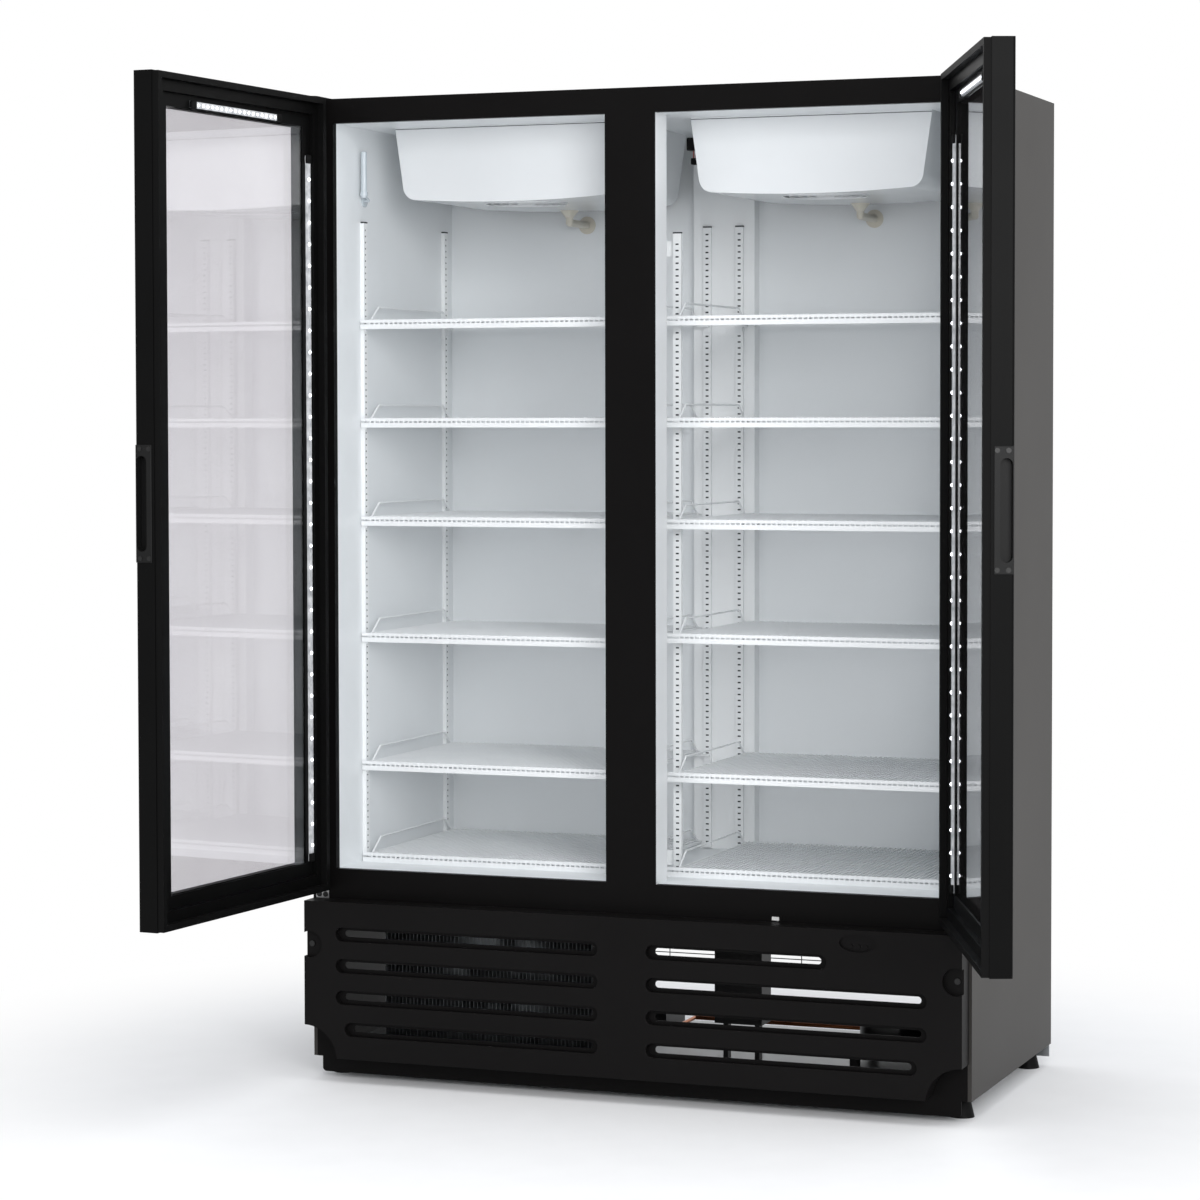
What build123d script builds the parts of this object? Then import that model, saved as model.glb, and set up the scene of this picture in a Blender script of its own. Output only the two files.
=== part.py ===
from build123d import *

import os

os.makedirs("parts", exist_ok=True)

# A free-standing display cooler with two hinged glass doors. Millimetres, +Z up.
# The origin is on the floor, in the cabinet's middle plane, below its front face.
# X runs to the right as seen from the front and Y runs from the front to the back.

# Cabinet
cabinet_width = 1390
cabinet_depth = 651
cabinet_height = 2000
base_height = 43
side_wall = 52
top_wall = 49.6
rear_wall = 45
sill_top = 430.5
sill_height = 68.5
floor_wall = 55
skin = 1
liner_skin = 1.2
frame_depth = 16
frame_gauge = 1.5
lower_fold = 18
seat = 0.3
hole_clearance = 0.1
thread_clearance = 0.05
cut_past = 1

# Centre mullion
mullion_width = 105
mullion_depth = 71
mullion_cap_thickness = 3
mullion_corner_radius = 4

# Doors, drawn shut in their own axes and then swung out about their pins
door_width = 655
door_thickness = 41
door_bottom = 390
door_top = 1999
door_side_inset = 2
pin_from_edge = 20
pin_from_inner_face = 20
door_stand_off = 14
left_door_open = 93.9
right_door_open = 111.8
glass_margin_hinge = 78.5
glass_margin_free = 66
glass_margin_end = 61.3
pane_thickness = 4
pane_hold = 10
outer_pane_depth = 4
inner_pane_depth = 12
glass_lip = 2
spacer_width = 12
recess_band = 26
door_edge_radius = 5
gasket_width = 12
gasket_height = 13.7
gasket_edge = 1.5
gasket_past_pin = 2

# Door lamps
lamp_width = 12
lamp_height = 5
lamp_from_hinge_glass = 18
lamp_bottom = 455
lamp_top = 1880
head_lamp_start = 165
head_lamp_length = 306
head_lamp_above_glass = 9
lamp_clip_length = 14
lamp_clip_proud = 1

# Pull plate in the free edge of each door
pull_bottom = 1084
pull_height = 219.5
pull_width = 35.5
pull_gauge = 2
pull_proud = 2
pull_edge_gap = 1
recess_height = 178.5
recess_width = 22
recess_depth = 16
recess_wall = 1.4
recess_from_outer_face = 3
pull_screw_rise = 7.5
pull_screw_spread = 19.5
pull_screw_from_outer_face = 10.5
pull_screw_head = 4.5
pull_screw_shank = 2
pull_screw_length = 14
pull_screw_head_height = 1

# Hinges
pin_radius = 5
pin_clearance = 0.05
pin_reach = 22
bush_radius = 9
bush_length = 26
hinge_plate = 3
hinge_gap = 1
hinge_past_pin = 14
top_hinge_reach = 62
hinge_flange_height = 20
hinge_screw_radius = 3
hinge_screw_head = 5.5
hinge_screw_head_height = 2

# Front grille panel
grille_half_width = 690
grille_front = -55
grille_back = -3
grille_bottom = 50
grille_top = 370
grille_plate = 6
grille_return = 3
foot_cut_radius = 72
foot_cut_drop = 6
slot_height = 28
slot_pitch = 64.6
slot_rows = 4
slot_top = 304.5
slot_bank_inner = 51
slot_bank_outer = 620
slot_short_outer = 420.4
slot_last_outer = 600.5
slot_inset = 7
slot_end_inset = 14
slot_recess = 16
slot_wall = 3
slot_lip_radius = 1.5
dish_radius = 27
dish_depth = 14
dish_wall = 3
dish_x = 678
dish_z = 281
grille_screw_shank = 2.5
grille_screw_head = 6
grille_screw_length = 18
grille_screw_head_height = 3
grille_screw_end_gap = 1
bracket_reach = 13
bracket_height = 36
window_x = 484
window_z = 344.7
window_width = 74
window_height = 34

# Controller and light switch
controller_width = 96
controller_height = 40
controller_depth = 34
key_radius = 4
key_spread = 15
key_drop = 7
key_proud = 1.5
key_travel = 1.2
key_clearance = 0.3
key_well_depth = 5
switch_x = 302
switch_z = 376
switch_width = 24
switch_height = 12
switch_depth = 12
switch_rim = 1.5
rocker_width = 15
rocker_height = 7
rocker_thickness = 5
rocker_tilt = 8
rocker_pin_radius = 1
rocker_clearance = 1.2
rocker_end_gap = 0.4
rocker_proud = 2.5
rocker_boss_half = 3.2
switch_floor = 2

# Base and machine compartment
base_gauge = 2
base_flange = 30
rear_flange = 25
base_setback = 11
corner_plate_inner = 610
corner_plate_top = 125
kick_bottom = 12
kick_overlap = 17
kick_half_width = 675
kick_corner_radius = 8
foot_x = 658
front_foot_y = 70
rear_foot_y = 600
foot_pad_radius = 24
foot_top_radius = 17
foot_pad_height = 30
foot_stud_radius = 6
foot_stud_rise = 14
foot_nut_step = 4

# Shelf strips and shelves
strip_width = 17
strip_depth = 8
strip_gauge = 1.5
strip_pitch = 12.7
strip_slot_width = 7
strip_slot_height = 3.2
strip_foot = 2
wall_strip_top = 1755
centre_strip_top = 1722
front_strip_y = 139
rear_strip_y = 557
centre_strip_x = 36
centre_strip_y = 183
tie_height = 30
tie_width = 12
post_half_width = 68
post_front = 575
first_shelf = 641.5
left_levels = (0, 21, 40, 56, 72)
right_levels = (0, 22, 40, 56, 72)
shelf_front = 121
shelf_back = 571
shelf_inner = 50
shelf_outer = 628
rail_inner = 33
rail_outer = 640
rail_size = 6
front_rail_top = -1
deck_wire_radius = 1.8
deck_pitch = 10.8
front_drop = 20
front_strip_height = 9.5
clip_width = 12
clip_reach = 12
clip_height = 16
clip_gauge = 3
clip_overlap = 1
guard_height = 26
guard_run = 55
guard_radius = 2
guard_offset = 12
guard_bend = 8
side_rail_size = 5
middle_rail_size = 4
wire_bite = 0.6
level_step = 0.5
drop_wire_radius = 2.2
front_strip_gauge = 5
rack_leg_radius = 2.5

# Evaporator units under the ceiling
unit_x = 323
unit_half_top = 249
unit_half_bottom = 228
unit_front = 150
unit_back = 544
unit_corner_z = 1803
unit_bow = 9
unit_corner_radius = 28
unit_wall = 2.5
unit_fan_y = 255
unit_fan_radius = 78
fan_clearance = 6
fan_hole_depth = 10
coil_front = 350
coil_back = 530
coil_half_width = 205
coil_bottom = 1822
coil_top = 1935
fin_gauge = 1
fin_count = 30
coil_tube_radius = 5
drain_z = 1768
drain_cup_y = 500
drain_cup_radius = 20
drain_cup_height = 16
drain_pipe_radius = 8
drain_ring_radius = 19
drain_ring_thickness = 3

# Fans and motors
shaft_radius = 3
shaft_clearance = 0.05
hub_radius = 20
hub_height = 22
blade_count = 5
blade_gauge = 2
blade_pitch = 28
motor_radius = 34
motor_height = 46
wheel_above_corner = 6
motor_above_wheel = 4
wheel_before_plate = 9
blade_overlap = 1

# Condensing unit
condenser_left = -560
condenser_right = -60
condenser_front = 60
condenser_back = 120
condenser_bottom = 62
condenser_top = 325
condenser_fins = 60
condenser_rows = 5
condenser_tube_radius = 4.8
shroud_depth = 50
shroud_wall = 2
shroud_back_wall = 3
motor_bar_half = 12
motor_bar_overlap = 10
shaft_hole_margin = 1
cooling_fan_radius = 105
compressor_x = 450
compressor_y = 330
compressor_radius = 72
compressor_height = 88
compressor_foot_height = 16
compressor_plate = 3
compressor_plate_edge = 14
compressor_mount_inset = 6
compressor_mount_radius = 11
line_radius = 4
line_offset = 40
tube_overhang = 8
box_x = 147
box_y = 260
box_width = 101
box_depth = 60
box_bottom = 120
box_top = 340
box_leg_half = 5
box_leg_half_depth = 10
pan_length = 420
pan_depth = 120
pan_height = 40
pan_y = 545
pan_wall = 2
gland_x = 600
gland_radius = 9
gland_neck = 2
gland_inside = 14
gland_reach = 10

# Thermometer on the left wall
thermometer_y = 123
thermometer_bottom = 1806
thermometer_length = 96
thermometer_radius = 6
thermometer_gap = 6
disc_y = 148
disc_z = 1802
disc_radius = 13
disc_thickness = 3
clip_stud_radius = 3
clip_arm_radius = 2
clip_band_low = 8
clip_band_height = 8
clip_band_wall = 2

# Places worked out from the sizes above
half_width = cabinet_width / 2
opening_half = half_width - side_wall
opening_top = cabinet_height - top_wall
sill_bottom = sill_top - sill_height
cavity_floor = sill_top
cavity_back = cabinet_depth - rear_wall
foam_bottom = cavity_floor - floor_wall
pin_x = half_width - door_side_inset - pin_from_edge
pin_y = -door_stand_off - pin_from_inner_face
door_inner = pin_from_inner_face
door_outer = door_inner - door_thickness
hinge_edge = -pin_from_edge
free_edge = door_width - pin_from_edge
bracket_front = grille_front + dish_depth + dish_wall
sides = (("left", -1), ("right", 1))


def block(low, high, mode=Mode.ADD):
    """Add or cut a box between two opposite corners in the piece being made."""
    size = [b - a for a, b in zip(low, high)]
    middle = [(a + b) / 2 for a, b in zip(low, high)]
    with Locations(tuple(middle)):
        Box(*size, mode=mode)


def rod(start, end, radius, mode=Mode.ADD):
    """Add or cut a round bar between two points in the piece being made."""
    line = Vector(*end) - Vector(*start)
    with Locations(Plane(origin=start, z_dir=line)):
        Cylinder(radius, line.length, align=(Align.CENTER, Align.CENTER, Align.MIN), mode=mode)


def save(shape, name):
    """Label a finished piece and write it to its own file."""
    shape.label = name
    export_step(shape, f"parts/{name}.step")


def group(name, shapes):
    """Write several separate solids of one kind as one node."""
    save(Compound(children=shapes), name)


def mirrored(shape):
    """The same piece on the other side of the cabinet's middle plane."""
    return shape.mirror(Plane.YZ)


# Outer shell: two side panels, the top, the pan under the floor foam and the grille's brackets
with BuildPart() as shell:
    for side in (-1, 1):
        outer = side * half_width
        inner = side * (half_width - skin)
        low_x = min(outer, inner)
        high_x = max(outer, inner)
        fold = side * (half_width - lower_fold)
        block((low_x, frame_depth, base_height), (high_x, cabinet_depth, cabinet_height))
        block((low_x, 0, base_height), (high_x, frame_depth, sill_bottom))
        block((min(fold, inner), 0, base_height), (max(fold, inner), skin, sill_bottom))
    block(
        (-half_width, frame_depth, cabinet_height - skin),
        (half_width, cabinet_depth, cabinet_height),
    )
    block(
        (-half_width, frame_depth, foam_bottom - skin),
        (half_width, cabinet_depth - skin, foam_bottom),
    )
    for side in (-1, 1):
        near_x = side * (dish_x - bracket_reach)
        far_x = side * (grille_half_width - grille_return - seat)
        block(
            (min(near_x, far_x), bracket_front, dish_z - bracket_height / 2),
            (max(near_x, far_x), 0, dish_z + bracket_height / 2),
        )
        rod(
            (side * dish_x, bracket_front, dish_z),
            (side * dish_x, bracket_front + grille_screw_length, dish_z),
            grille_screw_shank + thread_clearance,
            Mode.SUBTRACT,
        )
save(shell.part, "outer_shell")

with BuildPart() as rear_panel:
    block(
        (skin - half_width, cabinet_depth - skin, foam_bottom - skin),
        (half_width - skin, cabinet_depth, cabinet_height - skin),
    )
save(rear_panel.part, "rear_panel")


def frame_ring(inset, front, back, mode=Mode.ADD):
    """The front frame's ring, drawn in from both of its edges by an inset."""
    outer = half_width - inset
    inner = opening_half + inset
    low = sill_bottom + inset
    high = cabinet_height - inset
    for edge in (-1, 1):
        near_x = min(edge * inner, edge * outer)
        far_x = max(edge * inner, edge * outer)
        block((near_x, front, low), (far_x, back, high), mode)
    block((-outer, front, low), (outer, back, sill_top - inset), mode)
    block((-outer, front, opening_top + inset), (outer, back, high), mode)


def switch_hole(back):
    """The cut-out for the light switch in the sill."""
    block(
        (switch_x - switch_width / 2 + switch_rim, -switch_rim, switch_z - switch_height / 2 + switch_rim),
        (switch_x + switch_width / 2 - switch_rim, back, switch_z + switch_height / 2 - switch_rim),
        Mode.SUBTRACT,
    )


# Insulation foam around the cavity, with a lip that fills the front frame
with BuildPart() as foam:
    block(
        (skin - half_width, frame_depth, foam_bottom),
        (half_width - skin, cabinet_depth - skin, cabinet_height - skin),
    )
    block(
        (-opening_half - liner_skin, frame_depth, cavity_floor - liner_skin),
        (opening_half + liner_skin, cavity_back + liner_skin, opening_top + liner_skin),
        Mode.SUBTRACT,
    )
    frame_ring(frame_gauge, frame_gauge, frame_depth)
    switch_hole(switch_depth)
save(foam.part, "insulation_foam")

with BuildPart() as liner:
    block(
        (-opening_half - liner_skin, frame_depth, cavity_floor - liner_skin),
        (opening_half + liner_skin, cavity_back + liner_skin, opening_top + liner_skin),
    )
    block(
        (-opening_half, frame_depth, cavity_floor),
        (opening_half, cavity_back, opening_top),
        Mode.SUBTRACT,
    )
save(liner.part, "liner")

with BuildPart() as front_frame:
    frame_ring(0, 0, frame_depth)
    frame_ring(frame_gauge, frame_gauge, frame_depth, Mode.SUBTRACT)
    switch_hole(switch_depth)
save(front_frame.part, "front_frame")

# Centre mullion: a white post with a black cap over its front face
with BuildPart() as mullion:
    block(
        (-mullion_width / 2, mullion_cap_thickness, sill_top),
        (mullion_width / 2, mullion_depth, opening_top),
    )
    rear_edges = mullion.edges().filter_by(Axis.Z).group_by(Axis.Y)[-1]
    fillet(rear_edges, mullion_corner_radius)
save(mullion.part, "mullion")

with BuildPart() as mullion_cap:
    block((-mullion_width / 2, 0, sill_top), (mullion_width / 2, mullion_cap_thickness, opening_top))
save(mullion_cap.part, "mullion_cap")

# Base pan, kick strip and feet
flange_back = cabinet_depth - base_setback
gland_z = base_height - rear_flange / 2
with BuildPart() as base_pan:
    block(
        (skin - half_width, skin, base_height),
        (half_width - skin, flange_back, base_height + base_gauge),
    )
    block(
        (-kick_half_width, skin, base_height),
        (kick_half_width, skin + base_gauge, base_height + base_flange),
    )
    block(
        (skin - half_width, flange_back - base_gauge, base_height - rear_flange),
        (half_width - skin, flange_back, base_height),
    )
    for foot_y in (front_foot_y, rear_foot_y):
        for side in (-1, 1):
            rod(
                (side * foot_x, foot_y, base_height - cut_past),
                (side * foot_x, foot_y, base_height + base_gauge + cut_past),
                foot_stud_radius + hole_clearance,
                Mode.SUBTRACT,
            )
    rod(
        (gland_x, flange_back - base_gauge - cut_past, gland_z),
        (gland_x, flange_back + cut_past, gland_z),
        gland_radius - gland_neck + hole_clearance,
        Mode.SUBTRACT,
    )
save(base_pan.part, "base_pan")

with BuildPart() as kick_strip:
    block(
        (-kick_half_width, -skin, kick_bottom),
        (kick_half_width, skin, base_height + kick_overlap),
    )
    lower_corners = kick_strip.edges().filter_by(Axis.Y).group_by(Axis.Z)[0]
    fillet(lower_corners, kick_corner_radius)
    plate_outer = grille_half_width - grille_return
    for side in (-1, 1):
        block(
            (min(side * corner_plate_inner, side * plate_outer), -skin, base_height),
            (max(side * corner_plate_inner, side * plate_outer), 0, corner_plate_top),
        )
save(kick_strip.part, "kick_strip")

feet = []
for foot_y in (front_foot_y, rear_foot_y):
    for side in (-1, 1):
        with BuildPart() as foot:
            with BuildSketch(Plane.XY):
                with Locations((side * foot_x, foot_y)):
                    Circle(foot_pad_radius)
            with BuildSketch(Plane.XY.offset(foot_pad_height)):
                with Locations((side * foot_x, foot_y)):
                    Circle(foot_top_radius)
            loft()
            rod(
                (side * foot_x, foot_y, foot_pad_height),
                (side * foot_x, foot_y, base_height + foot_stud_rise),
                foot_stud_radius,
            )
            with Locations((side * foot_x, foot_y, (foot_pad_height + base_height) / 2)):
                Cylinder(foot_top_radius - foot_nut_step, base_height - foot_pad_height)
        feet.append(foot.part)
group("levelling_feet", feet)

# Hinge brackets with their pins, on the cabinet's top and on the sill
top_hinge_y = pin_y - hinge_past_pin
with BuildPart() as top_hinge:
    with BuildSketch(Plane.XY.offset(cabinet_height)):
        with Locations((-pin_x, pin_y)):
            Circle(hinge_past_pin)
        with Locations((-pin_x, (pin_y + top_hinge_reach) / 2)):
            Rectangle(2 * hinge_past_pin, top_hinge_reach - pin_y)
    extrude(amount=hinge_plate)
    rod((-pin_x, pin_y, cabinet_height), (-pin_x, pin_y, door_top - pin_reach), pin_radius)
    for screw_y in (top_hinge_reach / 3, top_hinge_reach * 3 / 4):
        rod(
            (-pin_x, screw_y, cabinet_height - cut_past),
            (-pin_x, screw_y, cabinet_height + hinge_plate + cut_past),
            hinge_screw_radius + hole_clearance,
            Mode.SUBTRACT,
        )
group("top_hinges", [top_hinge.part, mirrored(top_hinge.part)])

lower_plate_top = door_bottom - hinge_gap
with BuildPart() as bottom_hinge:
    with BuildSketch(Plane.XY.offset(lower_plate_top - hinge_plate)):
        with Locations((-pin_x, pin_y)):
            Circle(hinge_past_pin)
        with Locations((-pin_x, pin_y / 2)):
            Rectangle(2 * hinge_past_pin, -pin_y)
    extrude(amount=hinge_plate)
    block(
        (-pin_x - hinge_past_pin, -hinge_plate, lower_plate_top - hinge_flange_height),
        (-pin_x + hinge_past_pin, 0, lower_plate_top),
    )
    rod((-pin_x, pin_y, lower_plate_top), (-pin_x, pin_y, door_bottom + pin_reach), pin_radius)
    for screw_side in (-1, 1):
        screw_x = -pin_x + screw_side * hinge_past_pin / 2
        screw_z = lower_plate_top - hinge_flange_height / 2 - hinge_plate / 2
        rod(
            (screw_x, -hinge_plate - cut_past, screw_z),
            (screw_x, cut_past, screw_z),
            hinge_screw_radius + hole_clearance,
            Mode.SUBTRACT,
        )
group("bottom_hinges", [bottom_hinge.part, mirrored(bottom_hinge.part)])

hinge_screws = []
for side in (-1, 1):
    for screw_y in (top_hinge_reach / 3, top_hinge_reach * 3 / 4):
        with BuildPart() as screw:
            rod(
                (side * pin_x, screw_y, cabinet_height),
                (side * pin_x, screw_y, cabinet_height + hinge_plate),
                hinge_screw_radius,
            )
            rod(
                (side * pin_x, screw_y, cabinet_height + hinge_plate),
                (side * pin_x, screw_y, cabinet_height + hinge_plate + hinge_screw_head_height),
                hinge_screw_head,
            )
        hinge_screws.append(screw.part)
    for screw_side in (-1, 1):
        screw_x = side * pin_x + screw_side * hinge_past_pin / 2
        screw_z = lower_plate_top - hinge_flange_height / 2 - hinge_plate / 2
        with BuildPart() as screw:
            rod((screw_x, 0, screw_z), (screw_x, -hinge_plate, screw_z), hinge_screw_radius)
            rod(
                (screw_x, -hinge_plate, screw_z),
                (screw_x, -hinge_plate - hinge_screw_head_height, screw_z),
                hinge_screw_head,
            )
        hinge_screws.append(screw.part)


def hang(shape, side):
    """Turn a door piece, drawn shut on the left about its pin, to where it rests."""
    placed = shape.moved(Location((-pin_x, pin_y, 0)))
    if side > 0:
        placed = mirrored(placed)
    angle = right_door_open if side > 0 else -left_door_open
    return placed.rotate(Axis((side * pin_x, pin_y, 0), (0, 0, 1)), angle)


# Door pieces. Here X runs from the pin to the free edge and Y towards the cabinet.
glass_low_x = hinge_edge + glass_margin_hinge
glass_high_x = free_edge - glass_margin_free
glass_low_z = door_bottom + glass_margin_end
glass_high_z = door_top - glass_margin_end
outer_pane_front = door_outer + outer_pane_depth
inner_pane_back = door_inner - inner_pane_depth
recess_floor = inner_pane_back + glass_lip
pull_low_y = door_outer
pull_high_y = door_outer + pull_width
pull_middle_z = pull_bottom + pull_height / 2
recess_y = door_outer + recess_from_outer_face + recess_width / 2
pull_screw_y = door_outer + pull_screw_from_outer_face
pull_screw_places = [
    (y, z)
    for y in (pull_screw_y, pull_screw_y + pull_screw_spread)
    for z in (pull_bottom + pull_screw_rise, pull_bottom + pull_height - pull_screw_rise)
]


def recess_outline(margin):
    """Height and width of the finger recess, grown by a margin."""
    return recess_height + 2 * margin, recess_width + 2 * margin


with BuildPart() as door_frame:
    block((hinge_edge, door_outer, door_bottom), (free_edge, door_inner, door_top))
    outer_corners = door_frame.edges().filter_by(Axis.Z).group_by(Axis.Y)[0]
    fillet(outer_corners, door_edge_radius)
    block(
        (glass_low_x, door_outer - cut_past, glass_low_z),
        (glass_high_x, door_inner + cut_past, glass_high_z),
        Mode.SUBTRACT,
    )
    block(
        (glass_low_x - pane_hold, outer_pane_front, glass_low_z - pane_hold),
        (glass_high_x + pane_hold, inner_pane_back, glass_high_z + pane_hold),
        Mode.SUBTRACT,
    )
    block(
        (glass_low_x - recess_band, recess_floor, glass_low_z - recess_band),
        (glass_high_x + recess_band, door_inner + cut_past, glass_high_z + recess_band),
        Mode.SUBTRACT,
    )
    for hole_z in ((door_bottom, door_bottom + bush_length), (door_top - bush_length, door_top)):
        rod((0, 0, hole_z[0]), (0, 0, hole_z[1]), bush_radius, Mode.SUBTRACT)
    block(
        (free_edge - pull_gauge, pull_low_y - cut_past, pull_bottom),
        (free_edge + cut_past, pull_high_y, pull_bottom + pull_height),
        Mode.SUBTRACT,
    )
    with BuildSketch(Plane.YZ.offset(free_edge - recess_depth - recess_wall)):
        with Locations((recess_y, pull_middle_z)):
            SlotOverall(*recess_outline(recess_wall), rotation=90)
    extrude(amount=recess_depth + recess_wall, mode=Mode.SUBTRACT)
    for screw_y, screw_z in pull_screw_places:
        rod(
            (free_edge - pull_screw_length, screw_y, screw_z),
            (free_edge, screw_y, screw_z),
            pull_screw_shank,
            Mode.SUBTRACT,
        )

with BuildPart() as outer_pane:
    block(
        (glass_low_x - pane_hold, outer_pane_front, glass_low_z - pane_hold),
        (glass_high_x + pane_hold, outer_pane_front + pane_thickness, glass_high_z + pane_hold),
    )

with BuildPart() as inner_pane:
    block(
        (glass_low_x - pane_hold, inner_pane_back - pane_thickness, glass_low_z - pane_hold),
        (glass_high_x + pane_hold, inner_pane_back, glass_high_z + pane_hold),
    )

with BuildPart() as spacer:
    block(
        (glass_low_x - pane_hold, outer_pane_front + pane_thickness, glass_low_z - pane_hold),
        (glass_high_x + pane_hold, inner_pane_back - pane_thickness, glass_high_z + pane_hold),
    )
    block(
        (
            glass_low_x - pane_hold + spacer_width,
            outer_pane_front,
            glass_low_z - pane_hold + spacer_width,
        ),
        (
            glass_high_x + pane_hold - spacer_width,
            inner_pane_back,
            glass_high_z + pane_hold - spacer_width,
        ),
        Mode.SUBTRACT,
    )

gasket_low_z = door_bottom + gasket_edge
gasket_high_z = door_top - gasket_edge
gasket_high_x = free_edge - gasket_edge
with BuildPart() as gasket:
    block(
        (gasket_past_pin, door_inner, gasket_low_z),
        (gasket_high_x, door_inner + gasket_height, gasket_high_z),
    )
    block(
        (gasket_past_pin + gasket_width, door_inner - cut_past, gasket_low_z + gasket_width),
        (
            gasket_high_x - gasket_width,
            door_inner + gasket_height + cut_past,
            gasket_high_z - gasket_width,
        ),
        Mode.SUBTRACT,
    )

pull_face = free_edge + pull_proud
with BuildPart() as pull_plate:
    block(
        (free_edge - pull_gauge, pull_low_y + pull_edge_gap, pull_bottom),
        (pull_face, pull_high_y, pull_bottom + pull_height),
    )
    outer_edges = pull_plate.edges().group_by(Axis.X)[-1]
    chamfer(outer_edges, pull_proud / 2)
    with BuildSketch(Plane.YZ.offset(free_edge - recess_depth - recess_wall)):
        with Locations((recess_y, pull_middle_z)):
            SlotOverall(*recess_outline(recess_wall), rotation=90)
    extrude(amount=recess_depth + recess_wall)
    with BuildSketch(Plane.YZ.offset(free_edge - recess_depth)):
        with Locations((recess_y, pull_middle_z)):
            SlotOverall(*recess_outline(0), rotation=90)
    extrude(amount=recess_depth + pull_proud, mode=Mode.SUBTRACT)
    for screw_y, screw_z in pull_screw_places:
        rod(
            (free_edge - recess_depth, screw_y, screw_z),
            (pull_face, screw_y, screw_z),
            pull_screw_shank + hole_clearance,
            Mode.SUBTRACT,
        )

pull_screws = []
for screw_y, screw_z in pull_screw_places:
    with BuildPart() as screw:
        rod(
            (free_edge - pull_screw_length, screw_y, screw_z),
            (pull_face, screw_y, screw_z),
            pull_screw_shank,
        )
        rod(
            (pull_face, screw_y, screw_z),
            (pull_face + pull_screw_head_height, screw_y, screw_z),
            pull_screw_head,
        )
    pull_screws.append(screw.part)

bushes = []
for bush_z in (door_bottom, door_top - bush_length):
    with BuildPart() as bush:
        rod((0, 0, bush_z), (0, 0, bush_z + bush_length), bush_radius)
        rod((0, 0, bush_z), (0, 0, bush_z + bush_length), pin_radius + pin_clearance, Mode.SUBTRACT)
    bushes.append(bush.part)

lamp_x = glass_low_x - lamp_from_hinge_glass
head_lamp_z = glass_high_z + head_lamp_above_glass
clip_half = lamp_width / 2 + lamp_clip_proud
clip_face = recess_floor + lamp_height + lamp_clip_proud
with BuildPart() as side_lamp:
    block(
        (lamp_x - lamp_width / 2, recess_floor, lamp_bottom),
        (lamp_x + lamp_width / 2, recess_floor + lamp_height, lamp_top),
    )
    for cap_z in (lamp_bottom, lamp_top - lamp_clip_length):
        block(
            (lamp_x - clip_half, recess_floor, cap_z),
            (lamp_x + clip_half, clip_face, cap_z + lamp_clip_length),
        )
with BuildPart() as head_lamp:
    block(
        (head_lamp_start, recess_floor, head_lamp_z - lamp_width / 2),
        (head_lamp_start + head_lamp_length, recess_floor + lamp_height, head_lamp_z + lamp_width / 2),
    )
    for cap_x in (head_lamp_start - lamp_clip_length, head_lamp_start + head_lamp_length):
        block(
            (cap_x, recess_floor, head_lamp_z - clip_half),
            (cap_x + lamp_clip_length, clip_face, head_lamp_z + clip_half),
        )

for side_name, side in sides:
    save(hang(door_frame.part, side), f"{side_name}_door_frame")
    group(f"{side_name}_door_glass", [hang(outer_pane.part, side), hang(inner_pane.part, side)])
    save(hang(spacer.part, side), f"{side_name}_glass_spacer")
    save(hang(gasket.part, side), f"{side_name}_door_gasket")
    save(hang(pull_plate.part, side), f"{side_name}_pull_plate")
    group(f"{side_name}_pull_screws", [hang(screw, side) for screw in pull_screws])
    group(f"{side_name}_hinge_bushes", [hang(bush, side) for bush in bushes])
    group(f"{side_name}_door_lamps", [hang(side_lamp.part, side), hang(head_lamp.part, side)])

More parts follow.
